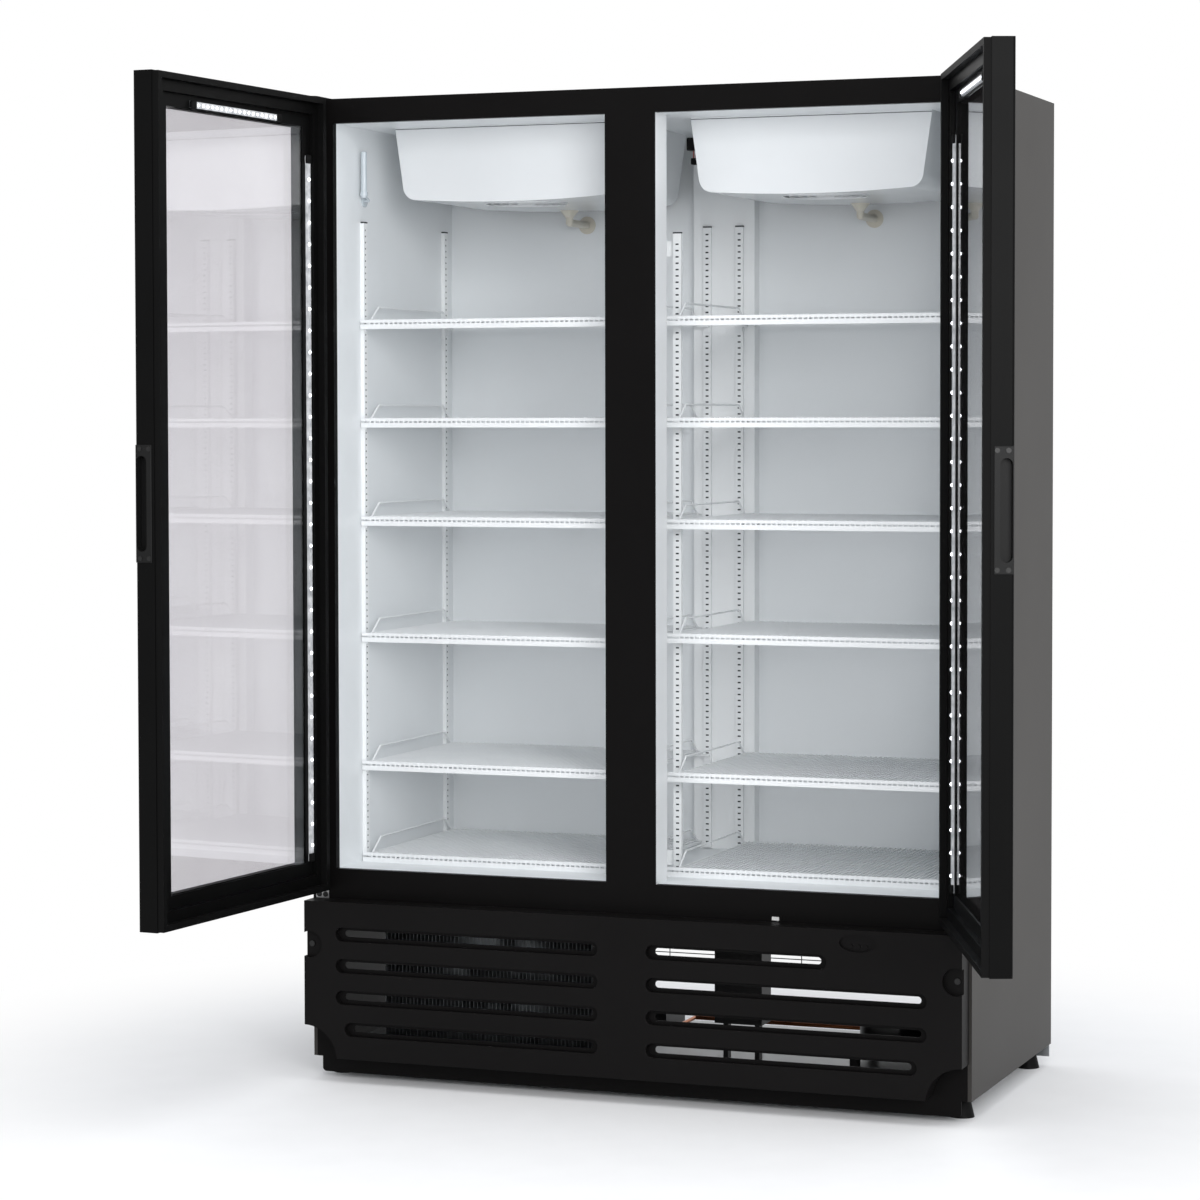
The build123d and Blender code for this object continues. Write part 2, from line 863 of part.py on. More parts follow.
# Front grille: a moulded panel with slots, two screw dishes and an oval window
with BuildPart() as grille:
    with BuildSketch(Plane.XZ.offset(-grille_back)) as grille_outline:
        with Locations((0, (grille_bottom + grille_top) / 2)):
            Rectangle(2 * grille_half_width, grille_top - grille_bottom)
        cut_z = grille_bottom - foot_cut_drop
        with Locations(*[(side * grille_half_width, cut_z) for side in (-1, 1)]):
            Circle(foot_cut_radius, mode=Mode.SUBTRACT)
    extrude(amount=grille_back - grille_front)
    with BuildSketch(Plane.XZ.offset(-grille_back)):
        add(grille_outline.sketch)
        offset(amount=-grille_return, mode=Mode.REPLACE)
    extrude(amount=grille_back - grille_front - grille_plate, mode=Mode.SUBTRACT)
    for side in (-1, 1):
        rod(
            (side * dish_x, grille_front, dish_z),
            (side * dish_x, grille_front + dish_depth + dish_wall, dish_z),
            dish_radius + dish_wall,
        )
        rod(
            (side * dish_x, grille_front - cut_past, dish_z),
            (side * dish_x, grille_front + dish_depth, dish_z),
            dish_radius,
            Mode.SUBTRACT,
        )
        rod(
            (side * dish_x, grille_front, dish_z),
            (side * dish_x, 0, dish_z),
            grille_screw_shank + hole_clearance,
            Mode.SUBTRACT,
        )
        trim_x = side * (grille_half_width + dish_radius)
        block(
            (min(side * grille_half_width, trim_x), grille_front - cut_past, dish_z - 2 * dish_radius),
            (max(side * grille_half_width, trim_x), 0, dish_z + 2 * dish_radius),
            Mode.SUBTRACT,
        )
    for row in range(slot_rows):
        for side in (-1, 1):
            far_end = slot_bank_outer
            if row == 0 and side > 0:
                far_end = slot_short_outer
            if row == slot_rows - 1:
                far_end = slot_last_outer
            slot_length = far_end - slot_bank_inner
            slot_middle = side * (far_end + slot_bank_inner) / 2
            slot_z = slot_top - row * slot_pitch
            with BuildSketch(Plane.XZ.offset(-grille_front)):
                with Locations((slot_middle, slot_z)):
                    SlotOverall(slot_length + 2 * slot_wall, slot_height + 2 * slot_wall)
            extrude(amount=-slot_recess - slot_wall)
            with BuildSketch(Plane.XZ.offset(-grille_front)):
                with Locations((slot_middle, slot_z)):
                    SlotOverall(slot_length, slot_height)
            extrude(amount=-slot_recess, mode=Mode.SUBTRACT)
            with BuildSketch(Plane.XZ.offset(-grille_front)):
                with Locations((slot_middle, slot_z)):
                    SlotOverall(slot_length - 2 * slot_end_inset, slot_height - 2 * slot_inset)
            extrude(amount=-slot_recess - slot_wall, mode=Mode.SUBTRACT)
    front_edges = grille.edges().filter_by_position(Axis.Y, grille_front, grille_front)
    slot_low = slot_top - slot_rows * slot_pitch
    slot_high = slot_top + slot_height
    slot_lips = front_edges.filter_by_position(Axis.Z, slot_low, slot_high)
    slot_lips = slot_lips.filter_by_position(Axis.X, -slot_bank_outer - 1, slot_bank_outer + 1)
    fillet(slot_lips, slot_lip_radius)
    with BuildSketch(Plane.XZ.offset(-grille_front)):
        with Locations((window_x, window_z)):
            Ellipse(window_width / 2, window_height / 2)
    extrude(amount=-grille_plate, mode=Mode.SUBTRACT)
save(grille.part, "grille")

grille_screws = []
for side in (-1, 1):
    with BuildPart() as screw:
        rod(
            (side * dish_x, grille_front + dish_depth - grille_screw_head_height, dish_z),
            (side * dish_x, grille_front + dish_depth, dish_z),
            grille_screw_head,
        )
        rod(
            (side * dish_x, grille_front + dish_depth, dish_z),
            (side * dish_x, bracket_front + grille_screw_length - grille_screw_end_gap, dish_z),
            grille_screw_shank,
        )
    grille_screws.append(screw.part)
group("cabinet_screws", hinge_screws + grille_screws)

# Controller behind the oval window, with three keys that press in
controller_front = grille_front + grille_plate
key_places = [(window_x + step * key_spread, window_z - key_drop) for step in (-1, 0, 1)]
with BuildPart() as controller:
    block(
        (window_x - controller_width / 2, controller_front, window_z - controller_height / 2),
        (
            window_x + controller_width / 2,
            controller_front + controller_depth,
            window_z + controller_height / 2,
        ),
    )
    for key_x, key_z in key_places:
        rod(
            (key_x, controller_front, key_z),
            (key_x, controller_front + key_well_depth, key_z),
            key_radius + key_clearance,
            Mode.SUBTRACT,
        )
save(controller.part, "controller")
for key_name, (key_x, key_z) in zip(("down", "set", "up"), key_places):
    with BuildPart() as key:
        rod(
            (key_x, controller_front - key_proud, key_z),
            (key_x, controller_front + key_well_depth - key_travel - key_clearance, key_z),
            key_radius,
        )
    save(key.part, f"key_{key_name}")

# Light switch in the sill
with BuildPart() as switch_body:
    block(
        (switch_x - switch_width / 2, -switch_rim, switch_z - switch_height / 2),
        (switch_x + switch_width / 2, 0, switch_z + switch_height / 2),
    )
    can_half_width = switch_width / 2 - switch_rim
    can_half_height = switch_height / 2 - switch_rim
    block(
        (switch_x - can_half_width, 0, switch_z - can_half_height),
        (switch_x + can_half_width, switch_depth, switch_z + can_half_height),
    )
    well_half_width = rocker_width / 2 + rocker_clearance
    well_half_height = rocker_height / 2 + rocker_end_gap
    block(
        (switch_x - well_half_width, -switch_rim, switch_z - well_half_height),
        (switch_x + well_half_width, switch_depth - switch_floor, switch_z + well_half_height),
        Mode.SUBTRACT,
    )
    rod(
        (switch_x, rocker_thickness / 2, switch_z - well_half_height),
        (switch_x, rocker_thickness / 2, switch_z + well_half_height),
        rocker_pin_radius,
    )
save(switch_body.part, "light_switch")

with BuildPart() as rocker:
    block(
        (switch_x - rocker_width / 2, -rocker_proud, switch_z - rocker_height / 2),
        (switch_x + rocker_width / 2, rocker_thickness, switch_z + rocker_height / 2),
    )
    block(
        (switch_x - rocker_width / 2 - cut_past, 0, switch_z - rocker_height),
        (switch_x - rocker_boss_half, rocker_thickness + cut_past, switch_z + rocker_height),
        Mode.SUBTRACT,
    )
    block(
        (switch_x + rocker_boss_half, 0, switch_z - rocker_height),
        (switch_x + rocker_width / 2 + cut_past, rocker_thickness + cut_past, switch_z + rocker_height),
        Mode.SUBTRACT,
    )
    rod(
        (switch_x, rocker_thickness / 2, switch_z - rocker_height),
        (switch_x, rocker_thickness / 2, switch_z + rocker_height),
        rocker_pin_radius + pin_clearance,
        Mode.SUBTRACT,
    )
rocker_axis = Axis((switch_x, rocker_thickness / 2, 0), (0, 0, 1))
save(rocker.part.rotate(rocker_axis, -rocker_tilt), "light_rocker")


def slotted_strip(height):
    """A folded strip that faces -Y with its back on Y = 0 and a row of slots up it."""
    with BuildPart() as strip:
        block((-strip_width / 2, -strip_depth, 0), (strip_width / 2, 0, height))
        block(
            (strip_gauge - strip_width / 2, strip_gauge - strip_depth, -cut_past),
            (strip_width / 2 - strip_gauge, cut_past, height + cut_past),
            Mode.SUBTRACT,
        )
        slot_count = int(height / strip_pitch) - 1
        slot_spots = [(0, -strip_depth, strip_pitch * (step + 1)) for step in range(slot_count)]
        with Locations(*slot_spots):
            Box(strip_slot_width, 4 * strip_gauge, strip_slot_height, mode=Mode.SUBTRACT)
    return strip.part


# Slotted strips on the side walls, on the rear post and behind the mullion
strip_bottom = cavity_floor + strip_foot
wall_strip = slotted_strip(wall_strip_top - strip_bottom)
strips = []
for side in (-1, 1):
    for strip_y in (front_strip_y, rear_strip_y):
        facing = Location((side * opening_half, strip_y, strip_bottom), (0, 0, -side * 90))
        strips.append(wall_strip.moved(facing))
    strips.append(wall_strip.moved(Location((side * centre_strip_x, post_front, strip_bottom))))
centre_strip = slotted_strip(centre_strip_top - cavity_floor)
for side in (-1, 1):
    strips.append(centre_strip.moved(Location((side * centre_strip_x, centre_strip_y, cavity_floor))))
group("shelf_strips", strips)

with BuildPart() as rear_post:
    block((-post_half_width, post_front, cavity_floor), (post_half_width, cavity_back, opening_top))
    block(
        (strip_gauge - post_half_width, post_front + strip_gauge, cavity_floor - cut_past),
        (post_half_width - strip_gauge, cavity_back + cut_past, opening_top + cut_past),
        Mode.SUBTRACT,
    )
save(rear_post.part, "rear_post")

# Uprights that hold the two centre strips, tied to the back of the mullion
with BuildPart() as centre_frame:
    for side in (-1, 1):
        block(
            (side * centre_strip_x - strip_width / 2, centre_strip_y, cavity_floor),
            (side * centre_strip_x + strip_width / 2, centre_strip_y + strip_gauge, centre_strip_top),
        )
    for tie_z in (cavity_floor + tie_height, centre_strip_top - tie_height):
        block(
            (-centre_strip_x, centre_strip_y, tie_z - tie_height / 2),
            (centre_strip_x, centre_strip_y + strip_gauge, tie_z + tie_height / 2),
        )
        block(
            (-tie_width / 2, mullion_depth, tie_z - tie_height / 2),
            (tie_width / 2, centre_strip_y, tie_z + tie_height / 2),
        )
save(centre_frame.part, "centre_frame")

# Wire shelf for the right bay, with the top of its deck at Z = 0
deck_count = int((shelf_outer - shelf_inner - 2 * rail_size) / deck_pitch) + 1
deck_start = (shelf_inner + shelf_outer - (deck_count - 1) * deck_pitch) / 2
deck_places = [deck_start + step * deck_pitch for step in range(deck_count)]
front_rail_y = shelf_front + rail_size / 2
rear_rail_y = shelf_back - rail_size / 2
middle_rail_y = (front_rail_y + rear_rail_y) / 2
deck_length = rear_rail_y - front_rail_y
under_deck = wire_bite - 2 * deck_wire_radius
side_rail_places = (shelf_inner + rail_size / 2, shelf_outer - rail_size / 2)
side_rail_top = under_deck - level_step
side_rail_bottom = under_deck - rail_size
strip_top = front_strip_height - front_drop
with BuildPart() as wire_shelf:
    block(
        (rail_inner, shelf_front, front_rail_top - rail_size),
        (rail_outer, shelf_front + rail_size, front_rail_top),
    )
    block(
        (rail_inner, front_rail_y - front_strip_gauge / 2, -front_drop),
        (rail_outer, front_rail_y + front_strip_gauge / 2, strip_top),
    )
    block(
        (shelf_inner, shelf_back - rail_size, under_deck - rail_size),
        (shelf_outer, shelf_back, under_deck),
    )
    for rail_x in side_rail_places:
        block(
            (rail_x - side_rail_size / 2, front_rail_y, side_rail_bottom),
            (rail_x + side_rail_size / 2, rear_rail_y, side_rail_top),
        )
    block(
        (side_rail_places[0], middle_rail_y - middle_rail_size / 2, under_deck - middle_rail_size),
        (side_rail_places[1], middle_rail_y + middle_rail_size / 2, under_deck),
    )
    with Locations(*[(x, middle_rail_y, -deck_wire_radius) for x in deck_places]):
        Cylinder(deck_wire_radius, deck_length, rotation=(90, 0, 0))
    drop_high = front_rail_top - rail_size + level_step
    drop_low = strip_top - level_step
    with Locations(*[(x, front_rail_y, (drop_low + drop_high) / 2) for x in deck_places]):
        Cylinder(drop_wire_radius, drop_high - drop_low)

# A guard wire over each side rail, welded on at both ends
side_guards = []
for rail_x in side_rail_places:
    with BuildPart() as side_guard:
        with BuildLine() as guard_path:
            FilletPolyline(
                (rail_x, front_rail_y + guard_offset, side_rail_top - guard_radius),
                (rail_x, front_rail_y + guard_run, guard_height),
                (rail_x, rear_rail_y - guard_run, guard_height),
                (rail_x, rear_rail_y - guard_offset, side_rail_top - guard_radius),
                radius=guard_bend,
            )
        guard_wire = guard_path.wire()
        with BuildSketch(Plane(origin=guard_wire @ 0, z_dir=guard_wire % 0)):
            Circle(guard_radius)
        sweep(path=guard_wire)
        block(
            (rail_x - side_rail_size / 2, front_rail_y, side_rail_bottom),
            (rail_x + side_rail_size / 2, rear_rail_y, side_rail_top),
            Mode.SUBTRACT,
        )
    side_guards.append(side_guard.part)
right_shelf = [wire_shelf.part] + side_guards
left_shelf = [mirrored(shape) for shape in right_shelf]

bays = (
    ("left", -1, left_shelf, left_levels),
    ("right", 1, right_shelf, right_levels),
)
for bay_name, side, shelf, levels in bays:
    heights = [first_shelf + strip_pitch * level for level in levels]
    group(f"{bay_name}_shelves", [shape.moved(Location((0, 0, z))) for z in heights for shape in shelf])

# Floor racks: the same wire deck on short rear legs
with BuildPart() as floor_rack:
    add(wire_shelf.part)
    for leg_x in side_rail_places:
        rod((leg_x, rear_rail_y, -front_drop), (leg_x, rear_rail_y, side_rail_bottom), rack_leg_radius)
rack_place = Location((0, 0, cavity_floor + front_drop))
right_rack = [shape.moved(rack_place) for shape in [floor_rack.part] + side_guards]
group("floor_racks", right_rack + [mirrored(shape) for shape in right_rack])

# Shelf clips: one at each corner of each shelf, hooked on a strip
clip_top = side_rail_bottom
clips = []
for bay_name, side, shelf, levels in bays:
    for level in levels:
        seat_z = first_shelf + strip_pitch * level + clip_top
        for strip_y in (front_strip_y, rear_strip_y):
            face_x = opening_half - strip_depth
            tab_x = shelf_outer - rail_size - clip_overlap
            with BuildPart() as clip:
                block(
                    (tab_x, strip_y - clip_width / 2, seat_z - clip_gauge),
                    (face_x, strip_y + clip_width / 2, seat_z),
                )
                block(
                    (face_x - clip_gauge, strip_y - clip_width / 2, seat_z - clip_height),
                    (face_x, strip_y + clip_width / 2, seat_z),
                )
            clips.append(clip.part if side > 0 else mirrored(clip.part))
        for face_y in (centre_strip_y - strip_depth, post_front - strip_depth):
            near_x = centre_strip_x - strip_slot_width
            far_x = shelf_inner + rail_size + clip_overlap
            with BuildPart() as clip:
                block((near_x, face_y - clip_reach, seat_z - clip_gauge), (far_x, face_y, seat_z))
                block(
                    (near_x, face_y - clip_gauge, seat_z - clip_height),
                    (centre_strip_x + strip_slot_width, face_y, seat_z),
                )
            clips.append(clip.part if side > 0 else mirrored(clip.part))
group("shelf_clips", clips)

# Evaporator covers: bowed lower edge, open back, a round fan opening underneath
unit_bottom = unit_corner_z - unit_bow
with BuildPart() as unit_cover:
    with BuildSketch(Plane.XZ.offset(-unit_back)) as unit_outline:
        with BuildLine():
            Polyline(
                (unit_x - unit_half_bottom, unit_corner_z),
                (unit_x - unit_half_top, opening_top),
                (unit_x + unit_half_top, opening_top),
                (unit_x + unit_half_bottom, unit_corner_z),
            )
            ThreePointArc(
                (unit_x + unit_half_bottom, unit_corner_z),
                (unit_x, unit_bottom),
                (unit_x - unit_half_bottom, unit_corner_z),
            )
        make_face()
        fillet(unit_outline.vertices().group_by(Axis.Y)[0], unit_corner_radius)
    extrude(amount=unit_back - unit_front)
    with BuildSketch(Plane.XZ.offset(-unit_back)):
        add(unit_outline.sketch)
        offset(amount=-unit_wall, mode=Mode.REPLACE)
    extrude(amount=unit_back - unit_front - unit_wall, mode=Mode.SUBTRACT)
    rod(
        (unit_x, unit_fan_y, unit_bottom - fan_hole_depth),
        (unit_x, unit_fan_y, unit_corner_z + unit_bow),
        unit_fan_radius + fan_clearance,
        Mode.SUBTRACT,
    )
group("evaporator_covers", [mirrored(unit_cover.part), unit_cover.part])

unit_ceiling = opening_top - unit_wall
fin_step = 2 * coil_half_width / (fin_count + 1)
coil_middle_y = (coil_front + coil_back) / 2
coil_middle_z = (coil_bottom + coil_top) / 2
coil_row = 3 * coil_tube_radius * 2
with BuildPart() as coil:
    for edge in (-1, 1):
        edge_x = unit_x + edge * coil_half_width
        block(
            (edge_x - fin_gauge, coil_front, coil_bottom),
            (edge_x + fin_gauge, coil_back, unit_ceiling),
        )
    fin_spots = [
        (unit_x - coil_half_width + fin_step * (step + 1), coil_middle_y, coil_middle_z)
        for step in range(fin_count)
    ]
    with Locations(*fin_spots):
        Box(fin_gauge, coil_back - coil_front, coil_top - coil_bottom)
    for tube_y in (coil_middle_y - coil_row, coil_middle_y, coil_middle_y + coil_row):
        for tube_z in (coil_middle_z - coil_row, coil_middle_z + coil_row):
            rod(
                (unit_x - coil_half_width - tube_overhang, tube_y, tube_z),
                (unit_x + coil_half_width + tube_overhang, tube_y, tube_z),
                coil_tube_radius,
            )
group("evaporator_coils", [mirrored(coil.part), coil.part])


def fan_wheel(radius):
    """A fan wheel that turns about Z, with its middle at the origin."""
    with BuildPart() as wheel:
        Cylinder(hub_radius, hub_height)
        with PolarLocations((hub_radius + radius) / 2 - blade_overlap, blade_count):
            blade_length = radius - hub_radius + 2 * blade_overlap
            Box(blade_length, radius / 2, blade_gauge, rotation=(blade_pitch, 0, 0))
        Cylinder(shaft_radius + shaft_clearance, 2 * hub_height, mode=Mode.SUBTRACT)
    return wheel.part


# Evaporator fans hang from the covers' ceilings over the openings
unit_wheel_z = unit_corner_z + hub_height + wheel_above_corner
unit_wheel = fan_wheel(unit_fan_radius)
for fan_name, side in sides:
    wheel_place = Location((side * unit_x, unit_fan_y, unit_wheel_z))
    save(unit_wheel.moved(wheel_place), f"{fan_name}_evaporator_fan")
motors = []
for side in (-1, 1):
    motor_bottom = unit_wheel_z + hub_height / 2 + motor_above_wheel
    with BuildPart() as motor:
        rod(
            (side * unit_x, unit_fan_y, motor_bottom),
            (side * unit_x, unit_fan_y, motor_bottom + motor_height),
            motor_radius,
        )
        rod(
            (side * unit_x, unit_fan_y, motor_bottom + motor_height),
            (side * unit_x, unit_fan_y, unit_ceiling),
            motor_radius / 2,
        )
        rod(
            (side * unit_x, unit_fan_y, unit_wheel_z - hub_height / 2),
            (side * unit_x, unit_fan_y, motor_bottom),
            shaft_radius,
        )
    motors.append(motor.part)

# Condensing unit: coil, shroud, fan and its motor on the left of the base
condenser_middle_x = (condenser_left + condenser_right) / 2
condenser_middle_z = (condenser_bottom + condenser_top) / 2
pan_top_z = base_height + base_gauge
condenser_step = (condenser_right - condenser_left) / condenser_fins
row_step = (condenser_top - condenser_bottom) / condenser_rows
with BuildPart() as condenser:
    for plate_x in (condenser_left, condenser_right):
        block(
            (plate_x - fin_gauge, condenser_front, pan_top_z),
            (plate_x + fin_gauge, condenser_back, condenser_top),
        )
    fin_spots = [
        (
            condenser_left + condenser_step * (step + 0.5),
            (condenser_front + condenser_back) / 2,
            condenser_middle_z,
        )
        for step in range(condenser_fins)
    ]
    with Locations(*fin_spots):
        Box(fin_gauge, condenser_back - condenser_front, condenser_top - condenser_bottom)
    for row in range(condenser_rows):
        tube_z = condenser_bottom + row_step * (row + 0.5)
        tube_y = (condenser_front + condenser_back) / 2
        rod(
            (condenser_left - tube_overhang, tube_y, tube_z),
            (condenser_right + tube_overhang, tube_y, tube_z),
            condenser_tube_radius,
        )
save(condenser.part, "condenser")

shroud_back = condenser_back + shroud_depth
with BuildPart() as shroud:
    block((condenser_left, condenser_back, pan_top_z), (condenser_right, shroud_back, condenser_top))
    block(
        (condenser_left + shroud_wall, condenser_back - cut_past, pan_top_z + shroud_wall),
        (condenser_right - shroud_wall, shroud_back - shroud_back_wall, condenser_top - shroud_wall),
        Mode.SUBTRACT,
    )
    rod(
        (condenser_middle_x, shroud_back - shroud_back_wall - cut_past, condenser_middle_z),
        (condenser_middle_x, shroud_back + cut_past, condenser_middle_z),
        cooling_fan_radius + fan_clearance,
        Mode.SUBTRACT,
    )
    bar_reach = cooling_fan_radius + motor_bar_overlap
    block(
        (
            condenser_middle_x - bar_reach,
            shroud_back - shroud_back_wall,
            condenser_middle_z - motor_bar_half,
        ),
        (condenser_middle_x + bar_reach, shroud_back, condenser_middle_z + motor_bar_half),
    )
    rod(
        (condenser_middle_x, shroud_back - shroud_back_wall - cut_past, condenser_middle_z),
        (condenser_middle_x, shroud_back + cut_past, condenser_middle_z),
        shaft_radius + shaft_hole_margin,
        Mode.SUBTRACT,
    )
save(shroud.part, "fan_shroud")

wheel_y = shroud_back - hub_height / 2 - wheel_before_plate
cooling_wheel = fan_wheel(cooling_fan_radius)
wheel_place = Location((condenser_middle_x, wheel_y, condenser_middle_z), (90, 0, 0))
save(cooling_wheel.moved(wheel_place), "cooling_fan")
with BuildPart() as motor:
    rod(
        (condenser_middle_x, shroud_back, condenser_middle_z),
        (condenser_middle_x, shroud_back + motor_height, condenser_middle_z),
        motor_radius,
    )
    rod(
        (condenser_middle_x, wheel_y - hub_height / 2, condenser_middle_z),
        (condenser_middle_x, shroud_back, condenser_middle_z),
        shaft_radius,
    )
motors.append(motor.part)
group("fan_motors", motors)

# Compressor on four rubber mounts, with its discharge line to the condenser
mount_spread = compressor_radius - compressor_mount_inset
plate_reach = mount_spread + compressor_plate_edge
compressor_base = pan_top_z + compressor_foot_height
with BuildPart() as compressor:
    block(
        (compressor_x - plate_reach, compressor_y - plate_reach, compressor_base),
        (compressor_x + plate_reach, compressor_y + plate_reach, compressor_base + compressor_plate),
    )
    with Locations((compressor_x, compressor_y, compressor_base + compressor_plate)):
        Cylinder(compressor_radius, compressor_height, align=(Align.CENTER, Align.CENTER, Align.MIN))
    fillet(compressor.edges().filter_by(GeomType.CIRCLE).group_by(Axis.Z)[-1], compressor_radius / 2)
save(compressor.part, "compressor")
mounts = []
for step_x in (-1, 1):
    for step_y in (-1, 1):
        mount_x = compressor_x + step_x * mount_spread
        mount_y = compressor_y + step_y * mount_spread
        with BuildPart() as rubber:
            rod((mount_x, mount_y, pan_top_z), (mount_x, mount_y, compressor_base), compressor_mount_radius)
        mounts.append(rubber.part)
group("compressor_mounts", mounts)

line_z = condenser_bottom + row_step * 0.5
line_y = (condenser_front + condenser_back) / 2
line_points = [
    (compressor_x, compressor_y + compressor_radius, line_z),
    (compressor_x, compressor_y + compressor_radius + line_offset, line_z),
    (condenser_right + line_offset, compressor_y + compressor_radius + line_offset, line_z),
    (condenser_right + line_offset, line_y, line_z),
    (condenser_right + tube_overhang, line_y, line_z),
]
with BuildPart() as discharge_line:
    for line_start, line_end in zip(line_points, line_points[1:]):
        rod(line_start, line_end, line_radius)
    with Locations(*line_points[1:-1]):
        Sphere(line_radius)
save(discharge_line.part, "discharge_line")

with BuildPart() as control_box:
    block(
        (box_x - box_width / 2, box_y - box_depth / 2, box_bottom),
        (box_x + box_width / 2, box_y + box_depth / 2, box_top),
    )
    for leg_side in (-1, 1):
        leg_x = box_x + leg_side * box_width / 3
        block(
            (leg_x - box_leg_half, box_y - box_leg_half_depth, pan_top_z),
            (leg_x + box_leg_half, box_y + box_leg_half_depth, box_bottom),
        )
save(control_box.part, "control_box")

with BuildPart() as drain_pan:
    block(
        (condenser_middle_x - pan_length / 2, pan_y - pan_depth / 2, pan_top_z),
        (condenser_middle_x + pan_length / 2, pan_y + pan_depth / 2, pan_top_z + pan_height),
    )
    inner_half_length = pan_length / 2 - pan_wall
    inner_half_depth = pan_depth / 2 - pan_wall
    block(
        (condenser_middle_x - inner_half_length, pan_y - inner_half_depth, pan_top_z + pan_wall),
        (
            condenser_middle_x + inner_half_length,
            pan_y + inner_half_depth,
            pan_top_z + pan_height + cut_past,
        ),
        Mode.SUBTRACT,
    )
save(drain_pan.part, "evaporation_pan")

with BuildPart() as gland:
    rod(
        (gland_x, flange_back - gland_inside, gland_z),
        (gland_x, flange_back, gland_z),
        gland_radius - gland_neck,
    )
    rod((gland_x, flange_back, gland_z), (gland_x, flange_back + gland_reach, gland_z), gland_radius)
save(gland.part, "power_gland")

# Drains: a cup under each cover, a pipe and a ring at the back wall
drains = []
for side in (-1, 1):
    cup_bottom = unit_bottom - drain_cup_height
    with BuildPart() as cup:
        with BuildSketch(Plane.XY.offset(cup_bottom)):
            with Locations((side * unit_x, drain_cup_y)):
                Circle(drain_pipe_radius)
        with BuildSketch(Plane.XY.offset(unit_bottom)):
            with Locations((side * unit_x, drain_cup_y)):
                Circle(drain_cup_radius)
        loft()
    drains.append(cup.part)
    with BuildPart() as pipe:
        bend = (side * unit_x, drain_cup_y, drain_z)
        outlet = (side * unit_x, cavity_back, drain_z)
        rod(bend, (side * unit_x, drain_cup_y, cup_bottom), drain_pipe_radius)
        with Locations(bend):
            Sphere(drain_pipe_radius)
        rod(bend, outlet, drain_pipe_radius)
        rod((side * unit_x, cavity_back - drain_ring_thickness, drain_z), outlet, drain_ring_radius)
    drains.append(pipe.part)
group("drain_pipes", drains)

# Thermometer: a tube held by a clip on a suction disc
tube_x = -opening_half + thermometer_gap + thermometer_radius
with BuildPart() as thermometer:
    rod(
        (tube_x, thermometer_y, thermometer_bottom),
        (tube_x, thermometer_y, thermometer_bottom + thermometer_length),
        thermometer_radius,
    )
    ends = thermometer.edges().filter_by(GeomType.CIRCLE)
    fillet(ends, thermometer_radius / 2)
save(thermometer.part, "thermometer")
with BuildPart() as thermometer_clip:
    band_low_z = disc_z + clip_band_low
    band_high_z = band_low_z + clip_band_height
    rod((-opening_half, disc_y, disc_z), (-opening_half + disc_thickness, disc_y, disc_z), disc_radius)
    rod((-opening_half, disc_y, disc_z), (tube_x, disc_y, disc_z), clip_stud_radius)
    rod(
        (tube_x, disc_y, disc_z),
        (tube_x, thermometer_y, (band_low_z + band_high_z) / 2),
        clip_arm_radius,
    )
    rod(
        (tube_x, thermometer_y, band_low_z),
        (tube_x, thermometer_y, band_high_z),
        thermometer_radius + clip_band_wall,
    )
    rod(
        (tube_x, thermometer_y, band_low_z - clip_band_height),
        (tube_x, thermometer_y, band_high_z + clip_band_height),
        thermometer_radius + hole_clearance,
        Mode.SUBTRACT,
    )
save(thermometer_clip.part, "thermometer_clip")
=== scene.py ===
# %% [markdown]
# # A two-door display cooler
# This lesson dresses the solids of a display cooler: it gives each one a surface and adds the small pieces
# that the solids leave out. Everything is in metres, with the origin on the floor below the front face, X to
# the right, Y towards the back and Z up.

import math

import bmesh
import bpy
from mathutils import Matrix, Vector


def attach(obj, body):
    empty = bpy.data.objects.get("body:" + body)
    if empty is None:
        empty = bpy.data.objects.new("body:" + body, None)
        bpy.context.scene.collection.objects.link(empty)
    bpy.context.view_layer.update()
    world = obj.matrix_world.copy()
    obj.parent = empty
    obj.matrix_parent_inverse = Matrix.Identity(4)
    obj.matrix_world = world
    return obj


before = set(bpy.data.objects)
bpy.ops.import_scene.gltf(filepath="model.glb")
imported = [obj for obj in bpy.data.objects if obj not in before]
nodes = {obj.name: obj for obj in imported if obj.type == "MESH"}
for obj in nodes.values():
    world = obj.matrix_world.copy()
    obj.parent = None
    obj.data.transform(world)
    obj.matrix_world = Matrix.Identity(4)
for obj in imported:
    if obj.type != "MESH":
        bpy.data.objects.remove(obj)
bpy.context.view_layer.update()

# %% [markdown]
# The camera stands to the right of the cooler at about eye height and looks back to the left. Its place and
# lens were fitted to the cooler's straight edges. The lens is long, so upright edges stay nearly parallel.
# The frame is moved down a little with the lens shift, which keeps the uprights from leaning.

# %% Camera
image_side = 1200
sensor = 36
focal_pixels = 3401.37
middle_x, middle_y = 600.5, 549.92
yaw, pitch, roll = (math.radians(a) for a in (20.8826, -2.2616, -0.1008))
eye = (2.33547, -6.28627, 1.35656)

